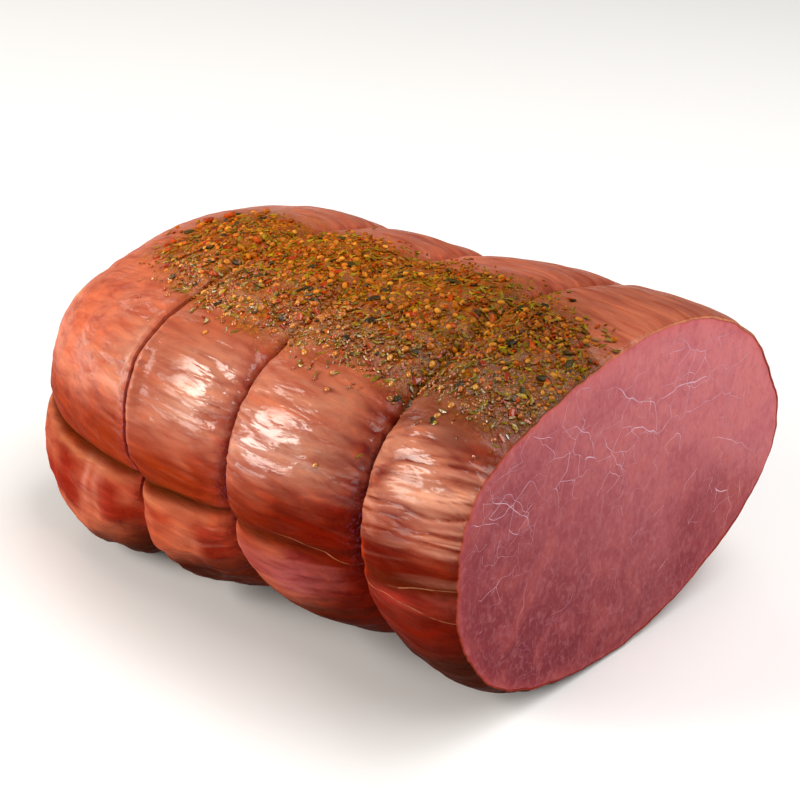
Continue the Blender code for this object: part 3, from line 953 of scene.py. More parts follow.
def mix(first, second, share):
    """Two colours, or arrays of them, mixed by an array of shares."""
    share = np.clip(share, 0, 1)[..., None]
    return np.asarray(first) * (1 - share) + np.asarray(second) * share


# Smooth noises that break the colours up: slow patches, quicker ones, and streaks along the roast
Mottle = namedtuple("Mottle", "slow quick streak")


def layered(colour, *layers):
    """A colour with others laid over it in turn, each by its own share."""
    for over, share in layers:
        colour = mix(colour, over, share)
    return colour


def near_side_layers(x, angle, off, colours, mottle):
    """Brown below the seasoning, pink at the rounded end, then red brown and deep red down to the fold,
    partly the meat's own colour and partly painted shade, and painted shade at the end of the third swell.
    """
    number, share = swell_place(x)
    last = number == len(TIE_MARKS_X)
    above = ramp_between(-off, -4.0, -3.0)
    edge = off + 3.0 * mottle.quick + 1.5 * mottle.streak - np.array(BROWNED_FROM)[number]
    low = mix(colours.low_red, colours.deep_red, ramp_between(x, 0.0, 0.045))
    return (
        (colours.red_brown, last * 0.15),
        (colours.upper, ramp_between(141 - angle, 0, 12) * (0.8 + 0.3 * mottle.slow)),
        (colours.blush, ramp_between(-x, 0.004, 0.05) * (0.75 + 0.25 * mottle.quick)),
        (colours.browned, last * ramp_between(144 - angle, 0, 7) * (0.85 + 0.15 * mottle.streak)),
        # Painted shade: red brown at the end of the third swell
        (colours.red_brown, (number == 2) * ramp_between(x, 0.042, 0.052) * 0.6),
        (colours.red_brown, (number == 1) * (1 - ramp_between(share, 0.1, 0.75)) * 0.50),
        # Red brown, then deep red down to the fold: partly the meat's own colour, partly painted shade low on
        # the side
        (colours.red_brown, above * ramp_between(edge, 0, 11) * 0.85),
        (low, above * ramp_between(edge, 7, 18)),
    )


def far_side_layers(x, angle, colours, mottle):
    """Brown on the top and the far side, redder low down, partly as painted shade like the near side, with
    faint pale streaks.
    """
    below = -((angle + 180) % 360 - 180) + 9 * mottle.quick + 4 * mottle.streak
    pale = ramp_between(mottle.streak + 0.5 * mottle.slow, 0.45, 1.1) * ramp_between(x, -0.050, -0.020)
    return (
        (colours.top, fade(angle, 84, 36) * (0.8 + 0.2 * mottle.slow)),
        (colours.far, fade(angle, 10, 55) * 0.8),
        # Redder low down: partly painted shade, as on the near side
        (colours.red_brown, ramp_between(below, 8, 42) * (np.cos(np.radians(angle)) > 0) * 0.7),
        (colours.sheen, fade(angle, 20, 40) * pale * 0.35),
    )


def tie_layers(x, angle, colours, mottle):
    """Painted shade and highlights at the tie marks: dark red shade at the swells' ends and in the creases,
    shade in the pleats' valleys, highlights on their crests and pale highlights where each swell starts.
    """
    number, _ = swell_place(x)
    bare = 1 - 0.6 * strip_cover(x, angle)
    near = 0.35 + 0.65 * fade(angle, 175, 60)
    # Painted shade: dark red at the end of each swell and at the start of the next
    dark = beside_ties(x, SHADE_BEFORE_TIES, SHADE_AFTER_TIES) * np.clip(1 + 0.8 * mottle.streak, 0.2, 1.5)
    groove = mix(colours.tie_red, colours.groove, ramp_between(x, 0.020, 0.048))
    crease = mix(colours.tie_red, colours.crease, ramp_between(x, -0.010, 0.040))
    fold = pleats(x, angle)
    strong = pleat_share(x, angle) * np.where(number == len(TIE_MARKS_X), 1.5, 1.0)
    rim_highlights = []
    # Painted highlights: a pale rim where each swell starts
    for tie, strength in zip(TIE_MARKS_X, SWELL_RIM_HIGHLIGHTS):
        rim = hill(x, tie + SWELL_RIM_PLACE, 0.0005) * fade(angle, 150, 20)
        rim_highlights.append((colours.rim, rim * strength * (0.7 + 0.4 * mottle.streak)))
    return (
        # Painted shade at the swells' ends and in the tie marks' creases
        (groove, dark * bare * near),
        (crease, tie_closeness(x, 0.0005) * bare * 0.7),
        # Painted shade in the pleats' valleys and painted highlights on their crests
        (groove, strong * (0.44 - fold) * 1.7),
        (colours.rim, strong * (fold - 0.66) * fade(angle, 154, 20) * 1.5),
        *rim_highlights,
    )


def skin_colours(x, angle, colours):
    """The skin's colour at nominal places, without its fine mottling."""
    mottle = Mottle(noise(x / 0.022, angle / 18, SEED + 20, 20), noise(x / 0.007, angle / 6, SEED + 21, 60),
                    noise(x / 0.011, angle / 1.5, SEED + 23, 240))
    off = seam_offset(x, angle)
    beside_cut = ramp_between(x + 0.0015 * mottle.quick, 0.0735, 0.0810) * fade(angle, 152, 26)
    swell_edge = hill(x, 0.0566, 0.0017) * between(off, -13, -7, 16, 26)
    fat_spot = hill(x, -0.073, 0.004) * fade(angle, 138, 4) * (0.5 + 0.5 * mottle.quick)
    return layered(
        mix(colours.salmon, colours.tan, 0.5 + 0.5 * mottle.slow + 0.6 * mottle.streak),
        *near_side_layers(x, angle, off, colours, mottle),
        *far_side_layers(x, angle, colours, mottle),
        (colours.cut_edge, beside_cut * (0.85 + 0.3 * mottle.quick)),
        (under_colours(x, angle, off, colours), between(off, 0, 3, 80, 150)),
        # Painted shade in the fold's crease
        (colours.crease, hill(off, -0.6, 2.4) * (0.92 - 0.45 * ramp_between(x, 0.0, 0.045))),
        *tie_layers(x, angle, colours, mottle),
        (colours.swell_edge, swell_edge * 0.7),
        (colours.fat_spot, fat_spot * 0.8))


def fat_lines(x, angle):
    """Thin lines of fat at the fold: how many degrees away each of them is, and its strength."""
    off = seam_offset(x, angle)
    number, share = swell_place(x)
    last = number == len(TIE_MARKS_X)
    beside = (np.abs(off) < 40) * (0.75 + 0.35 * noise(x / 0.004, angle / 6, SEED + 26, 60))
    upper = np.where(last, 0.6 * ramp_between(x, 0.066, 0.071), 0.6 * ramp_between(x, 0.030, 0.038))
    sway = 0.5 * noise(x / 0.005, angle / 40, SEED + 27, 9)
    line = np.interp(x, *FOLD_LINE_DROPS) + 0.5 * sway
    strand = np.interp(x, *STRAND_DROPS) + sway
    return {"fold_line": off - line, "fold_line_share": upper * beside,
            "strand_line": off - strand, "strand_line_share": last * (0.8 - 0.45 * share) * beside}


def last_swell(x):
    """1 on the swell beside the cut."""
    return ramp_between(x, TIE_MARKS_X[-1], TIE_MARKS_X[-1] + 0.001)


def under_colours(x, angle, off, colours):
    """The under muscle's colour: pink and red patches, pale membrane with some painted sheen, a mauve band,
    painted light on its top below the fold, and painted shade before the tie marks and on the underside.
    """
    quick = noise(x / 0.008, angle / 7, SEED + 24, 52)
    round_streak = ramp_between(noise(x / 0.0026, angle / 24, SEED + 22, 15), 0.0, 0.7)
    long_streak = ramp_between(noise(x / 0.012, angle / 1.6, SEED + 25, 225), 0.0, 0.7)
    shade_before_ties = beside_ties(x, ((1.0, 0.005),) * 3, ((0.0, 0.001),) * 3)
    return layered(
        mix(colours.under_pink, colours.under_red, 0.5 + 1.1 * quick),
        (colours.under_red, hill(x, -0.022, 0.008) * ramp_between(off, 10, 15) * 0.9),
        (colours.under_red, hill(x, -0.051, 0.007) * fade(angle, 195, 6)),
        (colours.membrane, hill(x, MEMBRANE_X, 0.0065) * fade(angle, 200, 16) * (0.08 + 0.80 * round_streak)),
        # A pale streaky patch below the second swell: membrane, partly a painted sheen
        (colours.membrane, hill(x, 0.009, 0.006) * fade(angle, 195, 5.5) * (0.08 + 0.70 * long_streak)),
        # Partly painted light: the tan top of the under muscle just below the fold, lit from above
        (colours.ledge, hill(off - quick, 3, 1.8) * (1 - ramp_between(x, 0.010, 0.018))
         * (0.45 + 0.3 * quick)),
        # Painted shade: darker red before each tie mark
        (colours.under_red, shade_before_ties * 0.8),
        (colours.under_pink, (1 - ramp_between(off, 4, 9)) * between(x, -0.016, -0.008, 0.012, 0.020) * 0.7),
        (colours.deep_red, ramp_between(x, 0.028, 0.048) * 0.95),
        (colours.band, between(off, 4, 5.5, 9, 20) * between(x, 0.014, 0.020, 0.046, 0.052)
         * (0.45 + 0.5 * long_streak)),
        (colours.mauve, hill(x, 0.034, 0.007) * fade(angle + 4 * quick, 197, 8) * (0.45 + 0.4 * long_streak)),
        (colours.rosy, hill(x, 0.068, 0.006) * hill(off, 4, 2.5) * 0.8),
        (colours.dusky, last_swell(x) * hill(off, 4.5, 3.5) * (0.35 + 0.65 * long_streak) * 0.55),
        # Painted shade: dark brown on the underside
        (colours.bottom, ramp_between(off + 3 * quick, 15, 31) * 0.92))


def skin_gloss(x, angle):
    """How wet the skin looks: most on the near shoulder, some on the top, little low down."""
    number, share = swell_place(x)
    first, last = np.array(GLOSS_FIRST)[number], np.array(GLOSS_LAST)[number]
    along_swell = first + (last - first) * ramp_between(share, 0.30, 0.75)
    near = fade(angle, np.array(GLOSS_ANGLES)[number], 13) * along_swell
    around = 0.25 * fade(angle, 145, 30)
    top = 0.30 * fade(angle, 85, 45)
    high = 1 - between(angle, 160, 172, 300, 330)
    strip = 0.8 * strip_cover(x, angle) * fade(angle, 125, 30)
    return np.max([near * high, around * high, top * high, strip], 0)


def cut_colours(y, z, from_edge):
    """The cut's colour: painted light and shade, lighter towards the upper far side and mauve low on the near
    side, and redder at its border.
    """
    width, height = SECTIONS[-1].half_width, SECTIONS[-1].half_height
    across = y / width * 0.6 + (z - height) / height * 0.6
    # Painted light and shade: lighter towards the upper far side, mauve shade low on the near side
    colour = mix(srgb(*CUT_SHADED_MAUVE), srgb(*CUT_LIT_ROSE), ramp_between(across, -0.86, 1.06))
    boundary = 0.060 - 0.6 * (y - 0.020)
    darker = ramp_between(boundary - z, 0.0, 0.012) * ramp_between(y, 0.018, 0.032)
    colour = mix(colour, srgb(*CUT_DEEP), darker * 0.55 * ramp_between(-z, -0.060, -0.020))
    border = np.exp(-from_edge / 0.0014) * (0.6 + 0.4 * ramp_between(across, 0.1, 0.8))
    return mix(colour, srgb(*CUT_BORDER), border * 0.8)


# Marbling

def cut_surface(y, z):
    """How far along X the cut lies at a place, with the slight waves that the knife left."""
    wave = noise(y / FACE_WAVE_CELL + 20, z / FACE_WAVE_CELL + 20, SEED + 30)
    grain = noise(y / FACE_GRAIN_CELL + 40, z / FACE_GRAIN_CELL + 40, SEED + 31)
    return CUT_X + CENTRING_X + FACE_WAVE * wave + FACE_GRAIN * grain


def vein_share(y, z):
    """How much of the network of fat shows at a place on the cut."""
    return max(c.share * math.exp(-((y - c.y) ** 2 + (z - c.z) ** 2) / c.reach ** 2) for c in CLUSTERS)


def vein_sway(y, z):
    """A small sideways shift of a vein, the same for all veins that meet at a place."""
    u, v = np.array(y / VEIN_WOBBLE_CELL + 60), np.array(z / VEIN_WOBBLE_CELL + 60)
    return VEIN_WOBBLE * float(noise(u, v, SEED + 32)), VEIN_WOBBLE * float(noise(u, v, SEED + 33))


def fat_network(draw):
    """Edges of uneven cells between bundles of fibres: pairs of places on the cut."""
    section = SECTIONS[-1]
    rows = int(2 * section.half_height / VEIN_CELL) + 2
    columns = int(2 * section.half_width / VEIN_CELL) + 2
    seeds = []
    for row in range(rows):
        for column in range(columns):
            y = section.centre_y - section.half_width + (column + 0.5 * (row % 2)) * VEIN_CELL
            z = row * VEIN_CELL
            jitter = [VEIN_CELL * draw.uniform(-VEIN_JITTER, VEIN_JITTER) for _ in range(2)]
            seeds.append(Vector((y + jitter[0], z + jitter[1])))
    corners, _, triangles = geometry.delaunay_2d_cdt(seeds, [], [], 0, 1e-7)[:3]
    centres, beside = [], {}
    for number, triangle in enumerate(triangles):
        a, b, c = (corners[k] for k in triangle)
        centres.append(circumcentre(a, b, c))
        for pair in ((0, 1), (1, 2), (2, 0)):
            side = tuple(sorted((triangle[pair[0]], triangle[pair[1]])))
            beside.setdefault(side, []).append(number)
    pairs = [tuple(found) for found in beside.values() if len(found) == 2]
    return centres, [p for p in pairs if (centres[p[0]] - centres[p[1]]).length < 2 * VEIN_CELL]


def circumcentre(a, b, c):
    """The point as far from all three corners."""
    corners = ((a, b, c), (b, c, a), (c, a, b))
    twice = 2 * sum(p.x * (q.y - r.y) for p, q, r in corners)
    y = sum(p.length_squared * (q.y - r.y) for p, q, r in corners) / twice
    z = sum(p.length_squared * (r.x - q.x) for p, q, r in corners) / twice
    return Vector((y, z))


def smooth_path(corners):
    """Places closely spaced on a smooth curve through all the corners."""
    corners = [corners[0] * 2 - corners[1]] + corners + [corners[-1] * 2 - corners[-2]]
    path = []
    for before, start, end, after in zip(corners, corners[1:], corners[2:], corners[3:]):
        steps = max(2, round((end - start).length / MAIN_VEIN_STEP))
        for t in (k / steps for k in range(steps)):
            path.append(0.5 * (2 * start + (end - before) * t
                               + (2 * before - 5 * start + 4 * end - after) * t ** 2
                               + (3 * start - before - 3 * end + after) * t ** 3))
    return path + [corners[-2]]


def main_vein(vein, draw):
    """A main vein as (y, z, half width): smooth through its places, uneven in width, pointed at its ends."""
    path = smooth_path([Vector(place) / 1000 for place in vein.places])
    rows = []
    for k, here in enumerate(path):
        end_taper = min(1, 4 * k / len(path), 4 * (len(path) - 1 - k) / len(path)) ** 0.6
        u, v = np.array(here.x / MAIN_VEIN_CELL), np.array(here.y / MAIN_VEIN_CELL)
        swell = 0.62 + 0.38 * float(noise(u, v, SEED + 34))
        width = MAIN_VEIN_SWELL * vein.width / 2000 * swell * end_taper * draw.uniform(0.8, 1.15)
        sway = vein_sway(here.x, here.y)
        rows.append((here.x + 0.7 * sway[0], here.y + 0.7 * sway[1], width))
    return rows


def inside_cut(outline, path):
    """Whether a whole path lies inside the cut's outline of (y, z) corners."""
    low, high = outline, np.roll(outline, -1, 0)
    for y, z, _ in path:
        crossing = (low[:, 1] > z) != (high[:, 1] > z)
        at = low[crossing, 0] + (z - low[crossing, 1]) * (high[crossing, 0] - low[crossing, 0]) / (
            high[crossing, 1] - low[crossing, 1])
        if np.sum(at > y) % 2 == 0:
            return False
    return True


def network_paths(sizes, draw):
    """The fine network of fat, with twigs at some of its joints, as paths and how pale they are."""
    centres, pairs = fat_network(draw)
    kept, meets = [], {}
    for a, b in pairs:
        middle = (centres[a] + centres[b]) / 2
        if draw.random() < vein_share(middle.x, middle.y):
            kept.append((a, b))
            for end in (a, b):
                meets[end] = meets.get(end, 0) + 1
    widths = {}
    for end, count in meets.items():
        share = min(1.0, 0.35 + vein_share(centres[end].x, centres[end].y))
        widths[end] = 0.0 if count == 1 else sizes.vein_width / 2 * share * draw.uniform(0.45, 1.15)
    paths = []
    for a, b in kept:
        path = []
        for share in (k / VEIN_STEPS for k in range(VEIN_STEPS + 1)):
            here = centres[a].lerp(centres[b], share)
            sway = vein_sway(here.x, here.y)
            width = widths[a] * (1 - share) + widths[b] * share
            middle = sizes.vein_width / 2 * 0.35 * math.sin(math.pi * share)
            path.append((here.x + sway[0], here.y + sway[1], max(width * draw.uniform(0.8, 1.1), middle)))
        paths.append((path, FAINT_VEIN * draw.uniform(0.4, 1.4)))
    for end in sorted(meets):
        if draw.random() < sizes.twig_share:
            paths.append((twig(centres[end], widths[end], draw), FAINT_VEIN * draw.uniform(0.4, 1.2)))
    return paths


def vein_paths(sizes):
    """Every vein as a list of (y, z, half width), and how pale it is."""
    draw = random.Random(SEED + 40)
    paths = [(main_vein(vein, draw), 1.0) for vein in MAIN_VEINS]
    for path, _ in list(paths):
        for y, z, width in path[3:-2:TWIG_EVERY]:
            if draw.random() < sizes.twig_share:
                paths.append((twig(Vector((y, z)), width * 0.7, draw), 0.75))
    paths += network_paths(sizes, draw)
    angle = skin_angles(np.array([CUT_X]), FACE_SIDES)[0]
    outline = inset(skin_places(np.full(FACE_SIDES, CUT_X), angle), VEIN_BORDER)[:, 1:]
    return [(path, pale) for path, pale in paths if inside_cut(outline, path)]


def twig(start, width, draw):
    """A short thin branch that wanders off and ends in a point."""
    heading = draw.uniform(0, math.tau)
    length = draw.uniform(*TWIG_LENGTHS)
    here, path = start.copy(), []
    for share in (k / VEIN_STEPS for k in range(VEIN_STEPS + 1)):
        sway = vein_sway(here.x, here.y)
        path.append((here.x + sway[0], here.y + sway[1], max(width, 0.00008) * 0.7 * (1 - share)))
        heading += draw.uniform(-TWIG_TURN, TWIG_TURN)
        here = here + Vector((math.cos(heading), math.sin(heading))) * length / VEIN_STEPS
    return path


def ribbon(shape, path, pale):
    """A low closed ridge along a path on the cut, wide as the path says and painted as pale as given."""
    tone = shape.verts.layers.float["vein_tone"]
    rows = []
    for k, (y, z, width) in enumerate(path):
        before, after = path[max(k - 1, 0)], path[min(k + 1, len(path) - 1)]
        run = Vector((after[0] - before[0], after[1] - before[1])).normalized()
        width = max(width, VEIN_THINNEST)
        row = []
        for side in (-1, 0, 1):
            py, pz = y - run.y * side * width, z + run.x * side * width
            x = float(cut_surface(np.array(py), np.array(pz)))
            x += VEIN_HEIGHT if side == 0 else -VEIN_SINK
            row.append(shape.verts.new((x, py, pz)))
            row[-1][tone] = pale
        rows.append(row)
    for low, high in zip(rows[:-1], rows[1:]):
        for side in range(3):
            after = (side + 1) % 3
            shape.faces.new((low[side], low[after], high[after], high[side]))
    shape.faces.new(rows[0][::-1])
    shape.faces.new(rows[-1])


# Seasoning

def strip_places(draw):
    """Endless random places on the seasoned strip, denser towards its middle: nominal x and angle."""
    while True:
        x = draw.uniform(STRIP_START_X, STRIP_END_X)
        off = draw.triangular(-1, 1, draw.choice((-STRIP_LEAN, STRIP_LEAN)))
        yield x, float(by_section(STRIP_ANGLES, x) + off * by_section(STRIP_HALF_ANGLES, x))


def skin_point(x, angle):
    """One point of the solid's skin."""
    return Vector([float(c) for c in skin_places(np.array(x), np.array(angle))])


def skin_frame(x, angle):
    """Point, outward direction and lengthwise direction of the skin."""
    step, turn = SLOPE_STEP_X, SLOPE_STEP_ANGLE
    length = (skin_point(x + step, angle) - skin_point(x - step, angle)).normalized()
    across = (skin_point(x, angle + turn) - skin_point(x, angle - turn)).normalized()
    return skin_point(x, angle), across.cross(length).normalized(), length


def topping_shape(kind, draw):
    """A seed or flake a little uneven, flat in XY, with the solid's own corners and smoother between."""
    shape = bmesh.new()
    bmesh.ops.create_uvsphere(shape, u_segments=TOPPING_SIDES, v_segments=TOPPING_RINGS, radius=0.5)
    grow = draw.uniform(*TOPPING_SIZES)
    for vert in shape.verts:
        uneven = draw.uniform(1 - kind.uneven, 1 + kind.uneven)
        vert.co.x *= kind.length * grow * uneven
        vert.co.y *= kind.width * grow * uneven
        vert.co.z *= kind.thickness * grow
    if kind.uneven < CRUMPLED_FROM:
        looks = {"cuts": 1, "smooth": 0.9}
    else:
        looks = {"cuts": 2, "smooth": 0.3, "fractal": 0.5, "along_normal": 0.4, "seed": draw.randrange(1000)}
    bmesh.ops.subdivide_edges(shape, edges=shape.edges, use_grid_fill=True, **looks)
    return shape


def seat(shape, place, turn, thickness, rise):
    """Lay a shape on the skin, turned about the outward direction and raised by a share of its thickness."""
    here, outward, length = place
    forward = Matrix.Rotation(turn, 3, outward) @ length
    seated = Matrix((forward, outward.cross(forward), outward)).transposed().to_4x4()
    seated.translation = here + outward * thickness * rise
    shape.transform(seated)


def large_toppings():
    """The largest seeds and flakes, seated where the solid has them: kind to a list of shapes."""
    places = strip_places(random.Random(SEED))
    shape_draw = random.Random(SEED)
    taken, laid = [], {kind.name: [] for kind in TOPPINGS}
    for kind in TOPPINGS:
        for _ in range(TOPPING_TRIES):
            if len(laid[kind.name]) == kind.count:
                break
            x, angle = next(places)
            place = skin_frame(x, angle)
            radius = kind.length * max(TOPPING_SIZES) / 2
            if x + radius > CUT_X - TOPPING_CUT_GAP:
                continue
            if any((place[0] - other).length < radius + reach + TOPPING_GAP for other, reach in taken):
                continue
            turn = shape_draw.uniform(0, math.tau)
            shape = topping_shape(kind, shape_draw)
            seat(shape, place, turn, kind.thickness, 0.5 - kind.sunk)
            laid[kind.name].append(shape)
            taken.append((place[0], radius))
    return laid


def red_pieces():
    """The few largest bits of red pepper, laid flat on the skin."""
    laid = []
    for number, piece in enumerate(RED_PIECES):
        shape, = flake_shapes(f"red_piece_{number}", piece.length, piece.width, RED_PIECE_THICKNESS, 1)
        bmesh.ops.recalc_face_normals(shape, faces=shape.faces)
        place = skin_frame(piece.x, piece.angle)
        seat(shape, place, math.radians(piece.turn), RED_PIECE_THICKNESS, RED_PIECE_RISE)
        laid.append(shape)
    return laid


def join(name, shapes, meshes=()):
    """One mesh from many small ones; each of the shapes gets a tint of its own."""
    draw = random.Random(name)
    whole = bmesh.new()
    tint = whole.verts.layers.float.new("tint")
    for mesh in meshes:
        whole.from_mesh(mesh)
    for shape in shapes:
        part = finished(shape, "part")
        start = len(whole.verts)
        whole.from_mesh(part)
        whole.verts.ensure_lookup_table()
        value = draw.random()
        for vert in whole.verts[start:]:
            vert[tint] = value
        bpy.data.meshes.remove(part)
    return finished(whole, name)


def grain_shapes(name, length, width, height, count, unevenness, levels):
    """Round grains of a kind, each a little different."""
    draw = random.Random(name)
    made = []
    for _ in range(count):
        shape = bmesh.new()
        bmesh.ops.create_icosphere(shape, subdivisions=levels, radius=0.5)
        for vert in shape.verts:
            vert.co *= draw.uniform(1 - unevenness, 1 + unevenness)
            vert.co = Vector((vert.co.x * length, vert.co.y * width, vert.co.z * height))
        made.append(shape)
    return made


def flake_shapes(name, length, width, thickness, count):
    """Angular flakes with an uneven outline, slightly curled."""
    draw = random.Random(name)
    made = []
    for _ in range(count):
        shape = bmesh.new()
        sides = draw.choice((5, 6, 7))
        outline = []
        for side in range(sides):
            turn = math.tau * (side + draw.uniform(-0.25, 0.25)) / sides
            reach = draw.uniform(0.34, 0.56)
            outline.append((math.cos(turn) * reach * length, math.sin(turn) * reach * width))
        curl = draw.uniform(-0.5, 1.2) * thickness
        low, high = ([shape.verts.new((x, y, level * thickness + curl * (2 * x / length) ** 2))
                      for x, y in outline] for level in (-0.5, 0.5))
        top = shape.verts.new((0, 0, thickness * draw.uniform(0.6, 1.1)))
        below = shape.verts.new((0, 0, -thickness * 0.5))
        for side in range(sides):
            after = (side + 1) % sides
            shape.faces.new((low[side], low[after], high[after], high[side]))
            shape.faces.new((high[side], high[after], top))
            shape.faces.new((low[after], low[side], below))
        made.append(shape)
    return made


def leaf_shapes(name, length, width, thickness, count):
    """Narrow pieces of dried leaf and stalk, bent and pointed at both ends."""
    draw = random.Random(name)
    made = []
    for _ in range(count):
        shape = bmesh.new()
        bend = draw.uniform(-0.28, 0.28) * length
        lift = draw.uniform(0, 0.10) * length
        slim = draw.uniform(0.55, 1.1)
        rows = []
        for step in range(1, 5):
            place = step / 5 - 0.5
            plump = math.sin(math.pi * step / 5) ** 0.7 * width * slim * draw.uniform(0.8, 1.15) / 2
            middle = Vector((place * length, bend * (4 * place ** 2 - 0.5), lift * 4 * place ** 2))
            sides = ((0, plump, 0), (0, 0, thickness / 2), (0, -plump, 0), (0, 0, -thickness / 2))
            rows.append([shape.verts.new(middle + Vector(s)) for s in sides])
        tips = [shape.verts.new((end * length / 2, bend / 2, lift)) for end in (-1, 1)]
        for side in range(4):
            after = (side + 1) % 4
            for low, high in zip(rows[:-1], rows[1:]):
                shape.faces.new((low[side], high[side], high[after], low[after]))
            shape.faces.new((tips[0], rows[0][side], rows[0][after]))
            shape.faces.new((tips[1], rows[-1][after], rows[-1][side]))
        made.append(shape)
    return made


# The finer seasoning, one row for each kind. Piece, and the name of its size and its draw; seed of its cover
# and the share that strays past the strip; the function that makes its shapes, how many, their width and
# thickness as shares of the length, and what else that function needs; spacing in metres, density to the
# square metre, tilt in radians and lift as a share of the length; finish and slot; the large toppings that
# join it
Kind = namedtuple("Kind", "piece name cover stray make count width thickness more "
                          "spacing density tilt lift finish slot large")
KINDS = (
    Kind("mustard_seeds", "mustard", 50, 0.20, grain_shapes, 4, 0.72, 0.60, (0.05, 2),
         0.0019, 64000, 0.3, 0.10, "mustard_seed", "mustard_seed", ()),
    Kind("coriander_seeds", "coriander", 54, 0.05, grain_shapes, 4, 0.80, 0.60, (0.12, 2),
         0.0022, 40000, 0.3, 0.08, "coriander_seed", "coriander_seed", ("coriander_seed",)),
    Kind("dried_herbs", "herb", 58, 0.012, leaf_shapes, 8, 0.42, 0.13, (),
         0.0012, 380000, 0.22, 0.09, "dried_herb", "dried_herb", ()),
    Kind("dark_leaf_bits", "dark", 62, 0.01, flake_shapes, 6, 0.62, 0.20, (),
         0.0026, 22000, 0.3, 0.08, "dark_leaf", "dark_leaf", ("leaf_flake",)),
    Kind("red_pepper_flakes", "red", 66, 0.02, flake_shapes, 8, 0.36, 0.14, (),
         0.0018, 80000, 0.25, 0.08, "red_flake", "red_flake", ("pepper_flake", "red_piece")),
    Kind("spice_crumbs", "crumb", 70, 0.004, grain_shapes, 5, 0.75, 0.60, (0.25, 1),
         0.0006, 1500000, 0.8, 0.16, "spice_crumb", "coriander_seed", ()),
)


def season_share(x, angle, seed, stray):
    """How densely one kind lies at a place: clumped on the strip, ragged at its edges, sparse past them."""
    ragged = RAGGED_ANGLE * noise(x / 0.008, angle / 5, seed, 72)
    core = strip_cover(x + 0.0015 * noise(x / 0.005, angle / 4, seed + 1, 90), angle + ragged)
    clumps = 0.75 + 0.45 * noise(x / 0.0055, angle / 4, seed + 2, 90)
    past = np.abs(angle - by_section(STRIP_ANGLES, x)) - by_section(STRIP_HALF_ANGLES, x)
    begun = ramp_between(x, STRIP_START_X - PATCH_MARGIN, STRIP_START_X)
    beyond = stray * np.exp(-np.maximum(past, 0) / STRAY_ANGLE) * begun
    thin = noise(x / 0.006, angle / 5, seed + 3, 72)
    start = ramp_between(x + 0.010 * thin, *DENSE_FROM_X)
    bare = ramp_between(angle + 6 * thin, *BARE_ANGLES) + ramp_between(x, *BARE_BEFORE_X)
    return np.clip((core * clumps + beyond) * (0.25 + 0.75 * start) * np.minimum(bare, 1), 0, 1)


def strip_patch():
    """The top of the skin as an open grid, painted with where each kind lies."""
    xs = np.linspace(STRIP_START_X - PATCH_MARGIN, CUT_X - STREWN_CUT_GAP, PATCH_ROWS)
    angles = np.linspace(*PATCH_ANGLES)
    x, angle = np.meshgrid(xs, angles, indexing="ij")
    corners = skin_places(x, angle).reshape(-1, 3)
    columns = len(angles)
    faces = []
    for row in range(len(xs) - 1):
        low = row * columns + np.arange(columns - 1)
        faces += np.stack([low, low + 1, low + columns + 1, low + columns], -1).tolist()
    mesh = bpy.data.meshes.new("strip_patch")
    mesh.from_pydata(corners.tolist(), [], faces)
    if mesh.polygons[0].normal.z < 0:
        mesh.flip_normals()
    for kind in KINDS:
        paint(mesh, f"cover_{kind.name}", season_share(x, angle, SEED + kind.cover, kind.stray).ravel())
    return mesh


